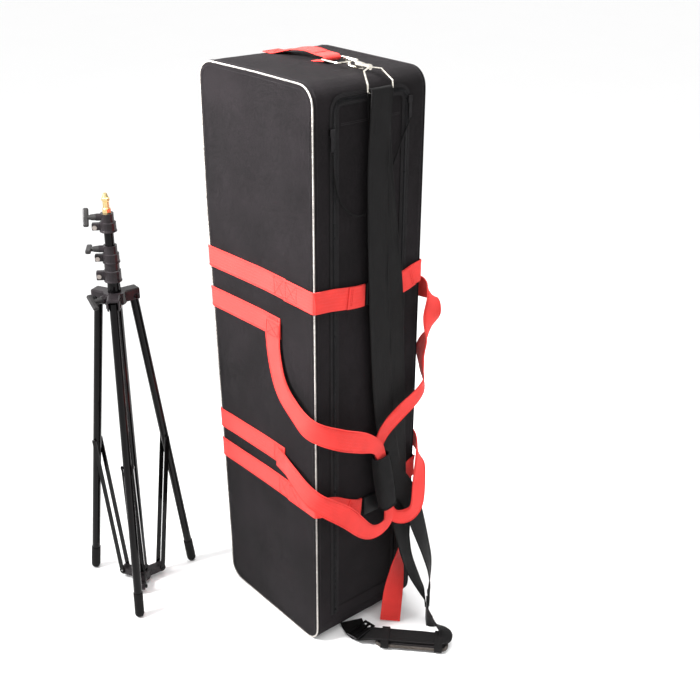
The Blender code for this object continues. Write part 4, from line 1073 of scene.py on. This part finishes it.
def make_pad():
    """Shoulder pad: two cloth panels over foam, bound round the edge, with two keeper loops."""
    middle = middle_of("shoulder_pad")
    turn = Matrix.Rotation(PAD_TURN, 4, "Z")
    place = Matrix.Translation(middle) @ turn
    bm = bmesh.new()
    bmesh.ops.create_cube(bm, size=1.0)
    bmesh.ops.scale(bm, vec=(PAD_LENGTH - 0.012, PAD_WIDTH - 0.01, 0.0085), verts=bm.verts)
    upright = [e for e in bm.edges if abs(e.verts[0].co.z - e.verts[1].co.z) > 0.001]
    bmesh.ops.bevel(bm, geom=upright, offset=0.012, segments=4, affect="EDGES", profile=0.5)
    pad = mesh_object("shoulder_pad_cushion", bm, "pad_cloth")
    remesh = pad.modifiers.new("Remesh", "REMESH")
    remesh.mode, remesh.voxel_size = "VOXEL", 0.0035
    shown = pad.evaluated_get(bpy.context.evaluated_depsgraph_get())
    pad.data = bpy.data.meshes.new_from_object(shown)
    pad.modifiers.clear()
    pad.data.shade_smooth()

    def pad_hold(point):
        edge = min(PAD_LENGTH / 2 - 0.006 - abs(point.x), PAD_WIDTH / 2 - 0.005 - abs(point.y))
        return 1.0 if edge < 0.003 else 0.0

    inflate(pad, pad_hold, 3.0, 0.004, 12)
    for vertex in pad.data.vertices:
        vertex.co.z = max(vertex.co.z, -middle.z + 0.0004)
    smooth_out(pad)
    pad.matrix_world = place
    add_piece(pad, "bag", "shoulder_pad")
    bm = bmesh.new()
    rim = []
    reach_x, reach_y, bend = PAD_LENGTH / 2 - 0.004 - 0.013, PAD_WIDTH / 2 - 0.003 - 0.013, 0.013
    for turned, (x, y) in enumerate(((1, 1), (-1, 1), (-1, -1), (1, -1))):
        rim += [Vector((x * reach_x + bend * cos(a), y * reach_y + bend * sin(a), 0))
                for a in (pi / 2 * (turned + k / 6) for k in range(7))]
    add_tube(bm, [place @ p for p in rim], 0.0034, 8, closed=True)
    thread_piece("shoulder_pad_binding", bm, "bag", "pad_edge")
    keeper = [(0.02, 0.0098, 0, 1), (0.028, 0.0055, 0.7, 0.7), (0.029, -0.003, 1, 0)]
    mirrored = [(-y, z, -out, up) for y, z, out, up in reversed(keeper)]
    keeper = mirrored + [(0, 0.0106, 0, 1)] + keeper
    for number, part in enumerate((-0.36, 0.36), 1):
        route = [(*(place @ Vector((part * PAD_LENGTH, y, z))), *(turn @ Vector((0, out, up))))
                 for y, z, out, up in keeper]
        loop = Strap(route, 0.017, 6, 0.0018, 0.0003, 7.0)
        webbing_piece(f"pad_keeper_{number}", loop, "bag", None, "black_webbing")


def make_pad_run():
    """The strap's run from the glide, under the pad's keepers, to the foot of the bag."""
    middle, lift = middle_of("shoulder_pad"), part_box("shoulder_pad")[1].z + 0.0004
    step = Vector((cos(PAD_TURN), sin(PAD_TURN), 0))
    route = [
        (0.26, 0.0935, 0.0305, 0.64, 0.77, 0, 0.048), (0.271, 0.0843, 0.03, 0.64, 0.77, 0, 0.048),
        (0.288, 0.083, 0.03, 0.35, 0.9, 0.25, 0.04), (0.307, 0.085, 0.028, 0.1, 0.6, 0.8, 0.032),
        (0.323, 0.085, 0.024, 0, 0.2, 1, 0.03), (0.333, 0.078, 0.0205, 0, 0, 1, 0.03),
        (0.333, 0.067, lift + 0.0008, 0, 0, 1, 0.034)]
    route += [(*(middle + step * part).xy, lift, 0, 0, 1, 0.04) for part in (0.03, -0.03, -0.078)]
    route += [(0.201, -0.044, 0.008, 0, 0, 1), (0.176, -0.04, 0.0032, 0, 0, 1),
              (0.15, -0.03, 0.0022, 0, 0, 1)]
    strap = Strap(route, STRAP, 7, 0.002, 0.0009, 9.0)
    webbing_piece("shoulder_strap_run_webbing", strap, "bag", "shoulder_strap_pad_run",
                  "black_webbing")
    bm = bmesh.new()
    edge_seams(bm, strap, 0.03, strap.length - 0.05, 0.88)
    thread_piece("shoulder_strap_run_seam", bm, "bag", "black_thread")


def make_red_tail():
    """Spare end of the lower compression strap, hanging to the floor."""
    route = [(0.165, 0.086, 0.27, 1, 0, 0), (0.169, 0.088, 0.235, 1, 0.3, 0),
             (0.1765, 0.085, 0.18, 0.75, 0.66, 0), (0.185, 0.07, 0.12, 0.98, 0.1, 0),
             (0.195, 0.051, 0.062, 0.85, -0.5, 0), (0.2055, 0.0345, 0.0045, 0.76, -0.65, 0)]
    strap = Strap(route, WEBBING, 10, wave=0.0012, seed=11.0)
    webbing_piece("lower_strap_tail_webbing", strap, "lower_rear_end", "lower_strap_tail")
    bm = bmesh.new()
    for along in (0.006, 0.01):
        cross_seam(bm, strap, strap.length - along)
    thread_piece("lower_strap_tail_seam", bm, "lower_rear_end")


CORD = 0.003                 # its diameter
CORD_ROUTE = [
    (0.165, -0.0912, 1.0605), (0.1652, -0.091, 1.05), (0.165, -0.0885, 1.02),
    (0.1645, -0.08, 0.985), (0.164, -0.062, 0.955), (0.164, -0.039, 0.938),
    (0.164, -0.015, 0.937), (0.164, 0.008, 0.952), (0.164, 0.03, 0.98), (0.164, 0.052, 1.02),
    (0.1643, 0.07, 1.06), (0.165, 0.083, 1.085), (0.165, 0.0892, 1.0935),
]


def make_cord():
    """Braided pull cord between the two zip pulls."""
    points = smooth_route(CORD_ROUTE, 3)
    curve = bpy.data.curves.new("zip_pull_cord_braid", "CURVE")
    curve.dimensions = "3D"
    curve.bevel_depth = CORD / 2
    curve.bevel_resolution = 3
    curve.use_fill_caps = True
    spline = curve.splines.new("POLY")
    spline.points.add(len(points) - 1)
    for target, point in zip(spline.points, points):
        target.co = (*point, 1)
    curve.materials.append(MATERIALS["grip"])
    cord = add_object("zip_pull_cord_braid", curve)
    add_piece(cord, "left_slider", "zip_pull_cord")


make_bands()
make_tabs()
make_handles()
make_grip()
make_end_handle()
make_shoulder_strap()
make_pad()
make_pad_run()
make_red_tail()
make_cord()


# ---------------------------------------------------------------- rigid pieces kept from the frame
FINISHES = {
    "black_tube": "base_tube middle_tube top_tube leg_tube_1 leg_tube_2 leg_tube_3 "
                  "brace_1 brace_2 brace_3",
    "casting": "bottom_casting lower_clamp middle_clamp top_clamp leg_spider",
    "knob_plastic": "lower_clamp_knob middle_clamp_knob top_clamp_knob spider_knob",
    "brass": "spigot",
    "bright_steel": "lower_clamp_bolt middle_clamp_bolt top_clamp_bolt",
    "rubber": "column_end_plug foot_tip_1 foot_tip_2 foot_tip_3",
    "buckle_plastic": "upper_buckle_socket upper_buckle_prong lower_buckle_socket "
                      "lower_buckle_prong strap_glide",
    "nickel": "end_ring hook_body hook_gate hook_eye",
    "dark_metal": "slide_adjuster zip_slider_left zip_slider_right",
    "crossbar_aluminium": "crossbar_socket_section crossbar_spigot_section",
}
CORNER_ROUNDING = {"casting": 0.0008, "knob_plastic": 0.0006, "buckle_plastic": 0.0005,
                   "nickel": 0.0002, "dark_metal": 0.0002, "bright_steel": 0.0003}
SHARP = radians(38)          # edges of the rigid pieces that stay crisp


def finish_frame():
    for finish, nodes in FINISHES.items():
        for name in nodes.split():
            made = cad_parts[name]
            made.data.materials.clear()
            made.data.materials.append(MATERIALS[finish])
            made.data.shade_smooth()
            made.data.set_sharp_from_angle(angle=SHARP)
            if finish in CORNER_ROUNDING:
                bevel = made.modifiers.new("Bevel", "BEVEL")
                bevel.width, bevel.segments = CORNER_ROUNDING[finish], 2
                bevel.limit_method, bevel.angle_limit = "ANGLE", SHARP


finish_frame()
